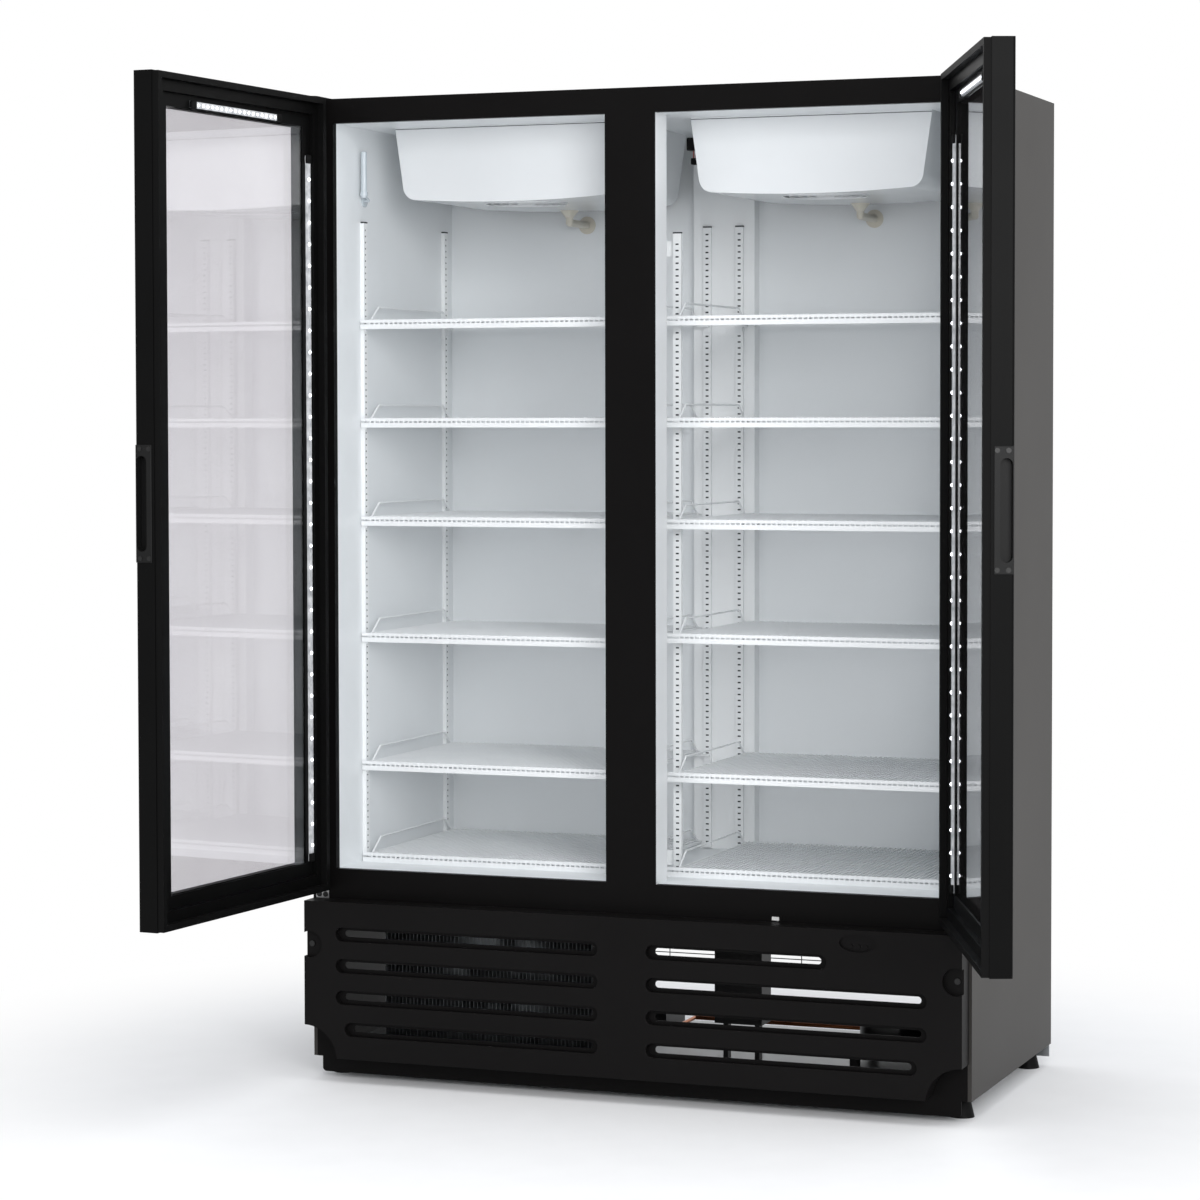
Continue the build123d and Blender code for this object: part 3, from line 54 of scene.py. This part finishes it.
camera_data = bpy.data.cameras.new("camera")
camera_data.sensor_width = sensor
camera_data.lens = focal_pixels * sensor / image_side
camera_data.shift_x = (image_side / 2 - middle_x) / image_side
camera_data.shift_y = (middle_y - image_side / 2) / image_side
camera = bpy.data.objects.new("camera", camera_data)
bpy.context.collection.objects.link(camera)
bpy.context.scene.camera = camera
look = Vector((-math.sin(yaw) * math.cos(pitch), math.cos(yaw) * math.cos(pitch), math.sin(pitch)))
level_right = Vector((math.cos(yaw), math.sin(yaw), 0))
level_up = level_right.cross(look)
right = level_right * math.cos(roll) + level_up * math.sin(roll)
up = right.cross(look)
turned = Matrix((right, up, -look)).transposed().to_4x4()
camera.matrix_world = Matrix.Translation(eye) @ turned
print("lens", round(camera_data.lens, 2), "mm, shift", round(camera_data.shift_y, 4))

# %% [markdown]
# A shop photo of this kind is lit by big soft lamps in a white room. The world is plain white where the
# camera, a mirror or a pane looks at it, and a softer grey where it lights the surfaces. Far from the cooler
# the floor fades into that white, and near it the floor keeps the cooler's shadow.

# %% Node helper and colours
def linear(code):
    """The linear colour of an sRGB hex value."""
    parts = [int(code[i : i + 2], 16) / 255 for i in (1, 3, 5)]
    return [p / 12.92 if p <= 0.04045 else ((p + 0.055) / 1.055) ** 2.4 for p in parts] + [1.0]


def add(tree, kind, settings=None, **links):
    """Add a node, set its own settings and inputs, and link what is a socket."""
    node = tree.nodes.new(kind)
    for name, value in (settings or {}).items():
        if isinstance(name, int) or name in node.inputs:
            target = node.inputs[name]
            if isinstance(value, bpy.types.NodeSocket):
                tree.links.new(value, target)
            else:
                target.default_value = value
        else:
            setattr(node, name, value)
    for name, socket in links.items():
        tree.links.new(socket, node.inputs[name])
    return node


def blank_material(name):
    """A new material with an empty tree, and that tree."""
    material = bpy.data.materials.new(name)
    material.use_nodes = True
    material.node_tree.nodes.clear()
    return material, material.node_tree


def looked_at(tree):
    """A socket that is 1 where the camera, a mirror or a pane looks, and 0 where light falls."""
    path = add(tree, "ShaderNodeLightPath")
    direct = add(tree, "ShaderNodeMath", {"operation": "MAXIMUM", 0: path.outputs["Is Camera Ray"],
                                          1: path.outputs["Is Transmission Ray"]})
    seen = add(tree, "ShaderNodeMath", {"operation": "MAXIMUM", 0: direct.outputs[0],
                                        1: path.outputs["Is Glossy Ray"]})
    return seen.outputs[0]


# %% World
room_light = 0.9

world = bpy.data.worlds.new("white_room")
bpy.context.scene.world = world
world.use_nodes = True
sky = world.node_tree
sky.nodes.clear()
seen = looked_at(sky)
soft_light = add(sky, "ShaderNodeBackground", {"Color": linear("#f4f6fa"), "Strength": room_light})
white_back = add(sky, "ShaderNodeBackground", {"Color": (1, 1, 1, 1), "Strength": 1.0})
both = add(sky, "ShaderNodeMixShader", {0: seen, 1: soft_light.outputs[0], 2: white_back.outputs[0]})
add(sky, "ShaderNodeOutputWorld", {"Surface": both.outputs[0]})
bpy.context.scene.view_settings.view_transform = "Standard"

# %% Floor
reach = 40
fade_middle = (0, 0.2, 0)
fade_start, fade_end = 0.9, 1.9

floor_mesh = bpy.data.meshes.new("floor")
floor_mesh.from_pydata([(-reach, -reach, 0), (reach, -reach, 0), (reach, reach, 0), (-reach, reach, 0)], [],
                       [(0, 1, 2, 3)])
floor = bpy.data.objects.new("floor", floor_mesh)
bpy.context.collection.objects.link(floor)
pale, tree = blank_material("pale_floor")
place = add(tree, "ShaderNodeTexCoord")
distance = add(tree, "ShaderNodeVectorMath", {"operation": "DISTANCE", 0: place.outputs["Object"],
                                              1: fade_middle})
fade = add(tree, "ShaderNodeMapRange", {"From Min": fade_start, "From Max": fade_end,
                                        "interpolation_type": "SMOOTHSTEP", "Value": distance.outputs["Value"]})
grain = add(tree, "ShaderNodeTexNoise", {"Scale": 9.0, "Detail": 3.0, "Vector": place.outputs["Object"]})
tone = add(tree, "ShaderNodeMixRGB", {"Fac": grain.outputs[0], "Color1": linear("#f6f6f6"),
                                      "Color2": linear("#fbfbfb")})
matt = add(tree, "ShaderNodeBsdfDiffuse", {"Color": tone.outputs[0]})
faded = add(tree, "ShaderNodeMath", {"operation": "MULTIPLY", 0: looked_at(tree), 1: fade.outputs[0]})
white = add(tree, "ShaderNodeEmission", {"Color": (1, 1, 1, 1), "Strength": 1.0})
mixed = add(tree, "ShaderNodeMixShader", {0: faded.outputs[0], 1: matt.outputs[0], 2: white.outputs[0]})
add(tree, "ShaderNodeOutputMaterial", {"Surface": mixed.outputs[0]})
floor_mesh.materials.append(pale)


# %% Lamps
def soft_lamp(name, place, aim, width, height, watts):
    """A large soft lamp at a place, turned to a point."""
    data = bpy.data.lights.new(name, "AREA")
    data.shape = "RECTANGLE"
    data.size = width
    data.size_y = height
    data.energy = watts
    lamp = bpy.data.objects.new(name, data)
    bpy.context.collection.objects.link(lamp)
    lamp.location = place
    lamp.rotation_euler = (Vector(aim) - Vector(place)).to_track_quat("-Z", "Y").to_euler()
    return lamp


soft_lamp("front_lamp", (3.4, -5.4, 2.6), (-0.2, 0.3, 1.1), 3.0, 2.6, 210)
soft_lamp("right_lamp", (5.2, -0.6, 2.2), (0.6, 0.3, 0.9), 2.0, 3.2, 22)
soft_lamp("top_lamp", (0.3, -0.8, 5.0), (0, 0.2, 1.2), 3.6, 2.6, 60)

# %% [markdown]
# Most of the finishes share one recipe: a colour that varies a little from place to place, a roughness that
# varies too, and a fine bump. One function sets up that recipe with sizes in millimetres, and each finish
# says what its real surface is.


# %% Finish recipe
def finish(name, dark, light, rough, grain_mm, bump_mm, metal=0.0, spread=(1, 1, 1), patch_mm=180,
           rough_swing=0.06, **sockets):
    """A finish with a patchy colour, a patchy roughness and a fine bump. Sizes are in millimetres."""
    material, tree = blank_material(name)
    place = add(tree, "ShaderNodeTexCoord")
    stretch = add(tree, "ShaderNodeMapping", {"Scale": spread, "Vector": place.outputs["Object"]})
    patches = add(tree, "ShaderNodeTexNoise", {"Scale": 1000 / patch_mm, "Detail": 4.0, "Roughness": 0.6,
                                               "Vector": place.outputs["Object"]})
    colour = add(tree, "ShaderNodeMixRGB", {"Fac": patches.outputs[0], "Color1": linear(dark),
                                            "Color2": linear(light)})
    gloss = add(tree, "ShaderNodeMapRange", {"Value": patches.outputs[0], "To Min": rough - rough_swing,
                                             "To Max": rough + rough_swing})
    fine = add(tree, "ShaderNodeTexNoise", {"Scale": 1000 / grain_mm, "Detail": 3.0,
                                            "Vector": stretch.outputs[0]})
    bump = add(tree, "ShaderNodeBump", {"Strength": 0.35, "Distance": bump_mm / 1000,
                                        "Height": fine.outputs[0]})
    shader = add(tree, "ShaderNodeBsdfPrincipled", {"Base Color": colour.outputs[0],
                                                    "Roughness": gloss.outputs[0],
                                                    "Normal": bump.outputs[0], "Metallic": metal, **sockets})
    add(tree, "ShaderNodeOutputMaterial", {"Surface": shader.outputs[0]})
    return material


# %% [markdown]
# The body and doors are steel with a black powder coat: baked resin with a faint orange peel about two
# millimetres across. The photo's white room would wash it out, so its specular level is set low, as in a
# dull coat. The side panel faces the bright side of the room and looks lighter, so the outer shell's black
# coat is painted lighter: painted light from that side, on the same black coat.

# %% Black steel, black plastic and rubber
dull = {"Specular IOR Level": 0.05}
satin = {"Specular IOR Level": 0.12}
black_coat = finish("black_powder_coat", "#0b0a0a", "#100f0f", 0.42, 2.2, 0.10, **dull)
# Painted light: the outer shell's black coat made lighter for the bright side of the room.
side_coat_painted_light = finish("black_coat_painted_light", "#312f2d", "#3a3836", 0.45, 2.2, 0.12, patch_mm=600, **satin)
door_coat = finish("black_door_extrusion", "#080808", "#0d0d0d", 0.38, 2.6, 0.05, rough_swing=0.05, **dull)
pull_coat = finish("black_pull_coat", "#121212", "#1b1b1b", 0.36, 1.0, 0.06, **satin)
grille_plastic = finish("black_moulded_abs", "#100f0f", "#151414", 0.42, 0.9, 0.06, patch_mm=240, **dull)
black_nylon = finish("black_nylon", "#0e0e0e", "#161616", 0.45, 0.8, 0.05, **dull)
gasket_rubber = finish("black_door_gasket", "#0a0a0a", "#101010", 0.5, 1.4, 0.06, spread=(1, 1, 0.1), **dull)
mount_rubber = finish("black_mount_rubber", "#0c0c0c", "#151515", 0.7, 1.0, 0.1)

# %% [markdown]
# Inside, the liner and posts are white pre-painted steel, the shelves are wire dipped in white epoxy, and the
# cooling units' covers are glossy white ABS. Cold white lamps make them look faintly blue in their shade.

# %% White finishes
liner_enamel = finish("white_liner_enamel", "#e3e7e9", "#eaedef", 0.36, 3.0, 0.05, patch_mm=300)
post_enamel = finish("white_post_enamel", "#e9eced", "#eff1f2", 0.36, 3.0, 0.05)
wire_epoxy = finish("white_wire_epoxy", "#e3e6e8", "#eef0f1", 0.38, 1.6, 0.08, patch_mm=60)
cover_abs = finish("white_cover_abs", "#dcdfe1", "#e3e6e8", 0.2, 2.4, 0.03, patch_mm=240, rough_swing=0.04)
pipe_pvc = finish("cream_drain_pvc", "#cdc8ba", "#dad6ca", 0.4, 1.5, 0.04, patch_mm=40)
rocker_abs = finish("white_rocker_abs", "#d6d6d4", "#e2e2e0", 0.3, 0.6, 0.02, patch_mm=10)
tube_acrylic = finish("clear_tube_acrylic", "#b9c2c9", "#ccd4d9", 0.12, 1.0, 0.01, patch_mm=30)

# %% [markdown]
# The bare metals follow. Galvanised sheet shows zinc crystals, or spangle, about ten millimetres across.
# Brushed steel has long fine lines along one direction, so its grain is stretched along X.

# %% Metals
spangled = finish("galvanised_sheet", "#8d9093", "#a5a8aa", 0.42, 9.0, 0.02, metal=0.9, patch_mm=22,
                  rough_swing=0.12)
brushed = finish("brushed_stainless", "#a9a9aa", "#bdbdbe", 0.3, 0.5, 0.02, metal=1.0, spread=(0.03, 1, 1))
zinc = finish("zinc_plated_steel", "#9b9c9e", "#b4b5b6", 0.33, 0.7, 0.02, metal=1.0, patch_mm=6)
black_zinc = finish("black_zinc_screw", "#121212", "#1d1d1d", 0.32, 0.7, 0.02, metal=0.4, patch_mm=5)
fin_stock = finish("aluminium_fin_stock", "#a4a8ab", "#b9bdc0", 0.38, 1.2, 0.02, metal=0.95, patch_mm=30)
copper = finish("drawn_copper", "#a3603c", "#b9734c", 0.3, 1.2, 0.02, metal=1.0, patch_mm=50)
motor_grey = finish("grey_motor_enamel", "#3a3b3c", "#454647", 0.45, 1.5, 0.08, patch_mm=40)
shell_enamel = finish("black_compressor_enamel", "#0f0f10", "#171718", 0.3, 1.8, 0.08, patch_mm=60)
box_grey = finish("grey_box_abs", "#1b1b1c", "#262627", 0.5, 1.0, 0.06, patch_mm=60)
foam_cream = finish("cream_foam", "#cbb98a", "#ddcfa4", 0.8, 1.5, 0.4, patch_mm=25)

# %% [markdown]
# The panes are clear float glass with a faint grey-violet heat coating, which shows in the photo where a door
# lies over the white wall. The lamp bars are milky polycarbonate that glows, with a brighter lens over each
# light. Emission makes them glow without burning out the black channel beside them.


# %% Glass and lamps
def pane_glass(name, tint):
    """Clear glass with a tint and faint smears in its polish."""
    material, tree = blank_material(name)
    place = add(tree, "ShaderNodeTexCoord")
    smears = add(tree, "ShaderNodeTexNoise", {"Scale": 3.0, "Detail": 4.0, "Vector": place.outputs["Object"]})
    polish = add(tree, "ShaderNodeMapRange", {"Value": smears.outputs[0], "To Min": 0.0, "To Max": 0.03})
    shade = add(tree, "ShaderNodeMixRGB", {"Fac": smears.outputs[0], "Color1": linear(tint),
                                           "Color2": linear("#f3f2f4")})
    shader = add(tree, "ShaderNodeBsdfPrincipled", {"Base Color": shade.outputs[0], "IOR": 1.5,
                                                    "Roughness": polish.outputs[0],
                                                    "Transmission Weight": 1.0})
    add(tree, "ShaderNodeOutputMaterial", {"Surface": shader.outputs[0]})
    return material


def glowing(name, colour, glow, strength):
    """A milky plastic that glows."""
    material, tree = blank_material(name)
    place = add(tree, "ShaderNodeTexCoord")
    milk = add(tree, "ShaderNodeTexNoise", {"Scale": 60.0, "Detail": 2.0, "Vector": place.outputs["Object"]})
    shade = add(tree, "ShaderNodeMixRGB", {"Fac": milk.outputs[0], "Color1": linear(colour),
                                           "Color2": (1, 1, 1, 1)})
    shader = add(tree, "ShaderNodeBsdfPrincipled", {"Base Color": shade.outputs[0], "Roughness": 0.3,
                                                    "Emission Color": linear(glow),
                                                    "Emission Strength": strength})
    add(tree, "ShaderNodeOutputMaterial", {"Surface": shader.outputs[0]})
    return material


door_pane = pane_glass("coated_float_glass", "#e9e7ea")
lamp_bar = glowing("milky_polycarbonate", "#63676c", "#dfe9f6", 0.07)
lamp_lens = glowing("lamp_lens", "#ffffff", "#f4f8ff", 2.4)

# %% Give every solid its finish
finishes = {
    side_coat_painted_light: ["outer_shell"],
    black_coat: ["front_frame", "kick_strip", "mullion_cap", "top_hinges"],
    door_coat: ["left_door_frame", "right_door_frame"],
    pull_coat: ["left_pull_plate", "right_pull_plate"],
    grille_plastic: ["grille", "controller", "light_switch", "key_down", "key_set", "key_up"],
    black_nylon: ["left_hinge_bushes", "right_hinge_bushes", "levelling_feet", "power_gland",
                  "left_glass_spacer", "right_glass_spacer", "left_evaporator_fan", "right_evaporator_fan",
                  "cooling_fan"],
    gasket_rubber: ["left_door_gasket", "right_door_gasket"],
    mount_rubber: ["compressor_mounts"],
    liner_enamel: ["liner"],
    post_enamel: ["mullion", "rear_post", "centre_frame", "shelf_strips"],
    wire_epoxy: ["left_shelves", "right_shelves", "floor_racks", "shelf_clips"],
    cover_abs: ["evaporator_covers"],
    pipe_pvc: ["drain_pipes"],
    rocker_abs: ["light_rocker"],
    tube_acrylic: ["thermometer", "thermometer_clip"],
    spangled: ["rear_panel", "base_pan"],
    brushed: ["bottom_hinges"],
    black_zinc: ["cabinet_screws", "left_pull_screws", "right_pull_screws"],
    fin_stock: ["evaporator_coils", "condenser"],
    copper: ["discharge_line"],
    motor_grey: ["fan_motors", "fan_shroud"],
    shell_enamel: ["compressor"],
    box_grey: ["control_box", "evaporation_pan"],
    foam_cream: ["insulation_foam"],
    door_pane: ["left_door_glass", "right_door_glass"],
    lamp_bar: ["left_door_lamps", "right_door_lamps"],
}
dressed = 0
for material, names in finishes.items():
    for name in names:
        nodes[name].data.materials.clear()
        nodes[name].data.materials.append(material)
        dressed += 1
print("dressed", dressed, "of", len(nodes), "solids")

# %% [markdown]
# Each door is easiest to build on where it is shut and square. The same small turn that hangs the door's
# solids then carries a piece from there to the open door: about the hinge pin, by the angle at which the
# door stands in the photo. The right door is the left one mirrored, so its faces are turned outwards again.

# %% Hanging pieces on the doors
pin_x, pin_y = 0.673, -0.034
door_angle = {"left": -93.9, "right": 111.8}


def hung(mesh, side):
    """Turn a mesh drawn for the shut left door, about its pin, to where the door of a side stands."""
    mesh.transform(Matrix.Translation((-pin_x, pin_y, 0)))
    sign = -1
    if side == "right":
        mesh.transform(Matrix.Scale(-1, 4, (1, 0, 0)))
        mesh.flip_normals()
        sign = 1
    pin = Matrix.Translation((sign * pin_x, pin_y, 0))
    mesh.transform(pin @ Matrix.Rotation(math.radians(door_angle[side]), 4, "Z") @ pin.inverted())
    return mesh


def piece(name, mesh, material, body):
    """Make an object of a mesh that is already in place, with a finish and the body that carries it."""
    if material is not None:
        mesh.materials.clear()
        mesh.materials.append(material)
    made = bpy.data.objects.new(name, mesh)
    bpy.context.collection.objects.link(made)
    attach(made, body)
    return made


# %% [markdown]
# Each door has an upright lamp with bright lenses 43 mm apart and a lamp along its head with lenses 17 mm
# apart. This is what Geometry Nodes are for: a line of points, a small ball sunk into the bar on each point,
# and named inputs for the pitch and the sizes. The tree realizes the copies and gives them their finish, and
# the result is kept as a plain mesh. The same recipe serves again for the strips' slots.


# %% Row of lenses
def node_tree(name, inputs):
    """A Geometry Nodes tree with named inputs. Returns the tree and its group input and output."""
    tree = bpy.data.node_groups.new(name, "GeometryNodeTree")
    tree.interface.new_socket("Geometry", in_out="OUTPUT", socket_type="NodeSocketGeometry")
    for label, kind, value in inputs:
        socket = tree.interface.new_socket(label, in_out="INPUT", socket_type=kind)
        socket.default_value = value
    return tree, add(tree, "NodeGroupInput"), add(tree, "NodeGroupOutput")


def row_tree(name, kind, settings, size_input, material):
    """A tree that puts one small shape on each point of a line. The size input is a name, type and value."""
    tree, given, made = node_tree(name, [
        ("Count", "NodeSocketInt", 1), ("Start", "NodeSocketVector", (0, 0, 0)),
        ("Step", "NodeSocketVector", (0, 0, 1)), size_input])
    row = add(tree, "GeometryNodeMeshLine", {"mode": "OFFSET"}, Count=given.outputs["Count"])
    tree.links.new(given.outputs["Start"], row.inputs["Start Location"])
    tree.links.new(given.outputs["Step"], row.inputs["Offset"])
    size = size_input[0]
    shape = add(tree, kind, settings, **{size: given.outputs[size]})
    spots = add(tree, "GeometryNodeInstanceOnPoints", Points=row.outputs["Mesh"],
                Instance=shape.outputs["Mesh"])
    real = add(tree, "GeometryNodeRealizeInstances", Geometry=spots.outputs["Instances"])
    coat = add(tree, "GeometryNodeSetMaterial", {"Material": material}, Geometry=real.outputs[0])
    tree.links.new(coat.outputs[0], made.inputs["Geometry"])
    return tree


def grown(tree, values, name):
    """The plain mesh that a tree makes with these values for its named inputs."""
    base = bpy.data.objects.new(name + "_base", bpy.data.meshes.new(name + "_base"))
    bpy.context.collection.objects.link(base)
    modifier = base.modifiers.new("grow", "NODES")
    modifier.node_group = tree
    for item in tree.interface.items_tree:
        if item.in_out == "INPUT" and item.name in values:
            modifier[item.identifier] = values[item.name]
    graph = bpy.context.evaluated_depsgraph_get()
    graph.update()
    mesh = bpy.data.meshes.new_from_object(base.evaluated_get(graph))
    mesh.name = name
    bpy.data.objects.remove(base)
    return mesh


lens_tree = row_tree("lens_row", "GeometryNodeMeshUVSphere", {"Segments": 12, "Rings": 8},
                     ("Radius", "NodeSocketFloat", 0.003), lamp_lens)

lamp_x, lamp_face = 0.0405, 0.0145
side_count, side_start, side_step, side_radius = 32, 0.487, 0.0434, 0.0037
head_count, head_start, head_step, head_radius = 18, 0.174, 0.0169, 0.003
head_z = 1.9467
for side in ("left", "right"):
    upright = grown(lens_tree, {"Count": side_count, "Start": (lamp_x, lamp_face, side_start),
                                "Step": (0, 0, side_step), "Radius": side_radius}, f"{side}_side_lenses")
    piece(f"{side}_side_lenses", hung(upright, side), None, f"{side}_door")
    head = grown(lens_tree, {"Count": head_count, "Start": (head_start, lamp_face, head_z),
                             "Step": (head_step, 0, 0), "Radius": head_radius}, f"{side}_head_lenses")
    piece(f"{side}_head_lenses", hung(head, side), None, f"{side}_door")
print("lenses", 2 * (side_count + head_count))

# %% [markdown]
# Each lamp bar is held by a black clip at both ends, rounded where a thumb presses it. A clip is a small box
# with its edges rounded by a bevel, which is enough for a moulded part of this size.


# %% Lamp clips
def rounded_box(name, low, high, radius):
    """A box mesh between two corners, in metres, with rounded edges."""
    mesh = bpy.data.meshes.new(name)
    shape = bmesh.new()
    bmesh.ops.create_cube(shape, size=1)
    for vertex in shape.verts:
        vertex.co = [a + (b - a) * (v + 0.5) for a, b, v in zip(low, high, vertex.co)]
    bmesh.ops.bevel(shape, geom=list(shape.edges), offset=radius, segments=3, profile=0.5, affect="EDGES")
    bmesh.ops.recalc_face_normals(shape, faces=shape.faces)
    shape.to_mesh(mesh)
    shape.free()
    return mesh


def joined(name, meshes):
    """One mesh made of several."""
    shape = bmesh.new()
    for mesh in meshes:
        shape.from_mesh(mesh)
    result = bpy.data.meshes.new(name)
    shape.to_mesh(result)
    shape.free()
    return result


channel_floor = 0.010
clip_face = 0.0175
clip_half = 0.008
clip_radius = 0.003
side_clips = ((0.453, 0.471), (1.864, 1.882))
head_clips = ((0.149, 0.167), (0.469, 0.487))
for side in ("left", "right"):
    clips = []
    for low_z, high_z in side_clips:
        clips.append(rounded_box("clip", (lamp_x - clip_half, channel_floor, low_z),
                                 (lamp_x + clip_half, clip_face, high_z), clip_radius))
    for low_x, high_x in head_clips:
        clips.append(rounded_box("clip", (low_x, channel_floor, head_z - clip_half),
                                 (high_x, clip_face, head_z + clip_half), clip_radius))
    piece(f"{side}_lamp_clips", hung(joined(f"{side}_lamp_clips", clips), side), black_nylon, f"{side}_door")
print("lamp clips", 2 * (len(side_clips) + len(head_clips)))

# %% [markdown]
# The shelf strips are rows of slots 12.7 mm apart, and in the photo each slot is a dark dash because the
# space behind it is in shade. A dark tab just behind each slot keeps that look from any side. A second tree
# puts the tabs on a line of points, so one strip is one call.

# %% Dark tabs behind the strips' slots
slot_shade = finish("shaded_steel", "#3a3d3f", "#4a4d4f", 0.6, 1.0, 0.02, patch_mm=20, **dull)
tab_tree = row_tree("slot_tabs", "GeometryNodeMeshCube", {},
                    ("Size", "NodeSocketVector", (0.008, 0.0005, 0.004)), slot_shade)

slot_pitch = 0.0127
across, deep, tall = 0.0084, 0.0004, 0.0042
wall_tab_x, post_x = 0.6368, 0.036
wall_strip_ys = (0.139, 0.557)
rear_tab_y, middle_tab_y = 0.5688, 0.1768
long_count, short_count = 103, 100
strip_foot, short_strip_foot = 0.4325, 0.4305
strips = []
for sign in (-1, 1):
    for strip_y in wall_strip_ys:
        strips.append(((sign * wall_tab_x, strip_y, strip_foot), long_count, (deep, across, tall)))
    strips.append(((sign * post_x, rear_tab_y, strip_foot), long_count, (across, deep, tall)))
    strips.append(((sign * post_x, middle_tab_y, short_strip_foot), short_count, (across, deep, tall)))
tabs = []
for (x, y, z), count, size in strips:
    tabs.append(grown(tab_tree, {"Count": count, "Start": (x, y, z + slot_pitch),
                                 "Step": (0, 0, slot_pitch), "Size": size}, "tabs"))
piece("slot_tabs", joined("slot_tabs", tabs), slot_shade, "cabinet")
print("slot tabs", sum(count for _, count, _ in strips))

# %% [markdown]
# A wire guard closes each fan opening: rings about 18 mm apart on four spokes. At the back of the machine
# compartment a row of thin wires runs from side to side, and the photo shows it through the slots. Wires are
# curves with a round bevel, turned into a plain mesh.


# %% Wire guards
def wires(name, lines, radius):
    """A mesh of round wires, each given by its points and whether it is a closed ring."""
    data = bpy.data.curves.new(name, "CURVE")
    data.dimensions = "3D"
    data.bevel_depth = radius
    data.bevel_resolution = 2
    data.use_fill_caps = True
    for points, ring in lines:
        line = data.splines.new("POLY")
        line.points.add(len(points) - 1)
        for spot, point in zip(line.points, points):
            spot.co = (*point, 1)
        line.use_cyclic_u = ring
    base = bpy.data.objects.new(name, data)
    bpy.context.collection.objects.link(base)
    graph = bpy.context.evaluated_depsgraph_get()
    graph.update()
    mesh = bpy.data.meshes.new_from_object(base.evaluated_get(graph))
    bpy.data.objects.remove(base)
    return mesh


guard_z = 1.7945
fan_y = 0.255
fan_offset = 0.323
guard_radii = (0.018, 0.036, 0.054, 0.072, 0.0845)
ring_points = 48
spoke_count = 4
spoke_rise = 0.002
guards = []
for fan_x in (-fan_offset, fan_offset):
    for radius in guard_radii:
        ring = []
        for step in range(ring_points):
            turn = math.tau * step / ring_points
            ring.append((fan_x + radius * math.cos(turn), fan_y + radius * math.sin(turn), guard_z))
        guards.append((ring, True))
    for step in range(spoke_count):
        turn = math.tau * (step + 0.5) / spoke_count
        tip = (fan_x + guard_radii[-1] * math.cos(turn), fan_y + guard_radii[-1] * math.sin(turn),
               guard_z + spoke_rise)
        guards.append(([(fan_x, fan_y, guard_z + spoke_rise), tip], False))
piece("fan_guards", wires("fan_guards", guards, 0.0013), wire_epoxy, "cabinet")

wire_half, wire_y, lowest_wire, wire_step, wire_count = 0.694, 0.646, 0.180, 0.0095, 19
upright_xs, upright_y, upright_low, upright_high = (-0.45, -0.15, 0.15, 0.45), 0.6485, 0.172, 0.360
wire_heights = [lowest_wire + wire_step * n for n in range(wire_count)]
rear_wires = [([(-wire_half, wire_y, z), (wire_half, wire_y, z)], False) for z in wire_heights]
rear_wires += [([(x, upright_y, upright_low), (x, upright_y, upright_high)], False) for x in upright_xs]
piece("rear_wires", wires("rear_wires", rear_wires, 0.0011), black_zinc, "cabinet")
print("guard wires", len(guards) + len(rear_wires))

# %% [markdown]
# A few small pieces finish the inside. Each strip ends in a grey cap. Each cooling unit's cover gets a thin
# dark strip just under the ceiling, painted shade for the gap there, and the right one has a black plug for
# its fan's wires on its side.

# %% Caps, painted gap shade and a plug
cap_half, cap_deep, cap_tall, cap_radius = 0.009, 0.0085, 0.003, 0.0008
strip_top, short_strip_top = 1.755, 1.722
cap_inner_x, cap_outer_x = 0.6345, 0.643
caps = []
for sign in (-1, 1):
    for strip_y in wall_strip_ys:
        wall_side = sorted((sign * cap_inner_x, sign * cap_outer_x))
        caps.append(rounded_box("cap", (wall_side[0], strip_y - cap_half, strip_top),
                                (wall_side[1], strip_y + cap_half, strip_top + cap_tall), cap_radius))
    for back_y, top_z in ((0.575, strip_top), (0.183, short_strip_top)):
        caps.append(rounded_box("cap", (sign * post_x - cap_half, back_y - cap_deep, top_z),
                                (sign * post_x + cap_half, back_y, top_z + cap_tall), cap_radius))
piece("strip_caps", joined("strip_caps", caps), slot_shade, "cabinet")

# Painted shade: a thin dark strip on each cover's top edge stands in for the shaded gap under the ceiling.
gap_shades = []
for low_x, high_x in ((-0.5715, -0.0745), (0.0745, 0.5715)):
    gap_shades.append(rounded_box("gap_shade", (low_x, 0.1496, 1.9462), (high_x, 0.1506, 1.9476), 0.0002))
piece("cover_gap_shades", joined("cover_gap_shades", gap_shades), slot_shade, "cabinet")

plug = [rounded_box("plug", (0.0575, 0.170, 1.887), (0.0845, 0.195, 1.913), 0.003),
        rounded_box("plug", (0.0655, 0.174, 1.859), (0.0890, 0.191, 1.872), 0.002)]
piece("fan_plug", joined("fan_plug", plug), black_nylon, "cabinet")
wire_coat = finish("red_wire_coat", "#8c3a34", "#a24a42", 0.4, 1.0, 0.02, patch_mm=5)
leads = [([(x, 0.182, 1.871), (x, 0.182, 1.888)], False) for x in (0.0695, 0.0740, 0.0785)]
piece("plug_leads", wires("plug_leads", leads, 0.0015), wire_coat, "cabinet")
print("small pieces", len(caps) + len(gap_shades) + len(plug) + len(leads))
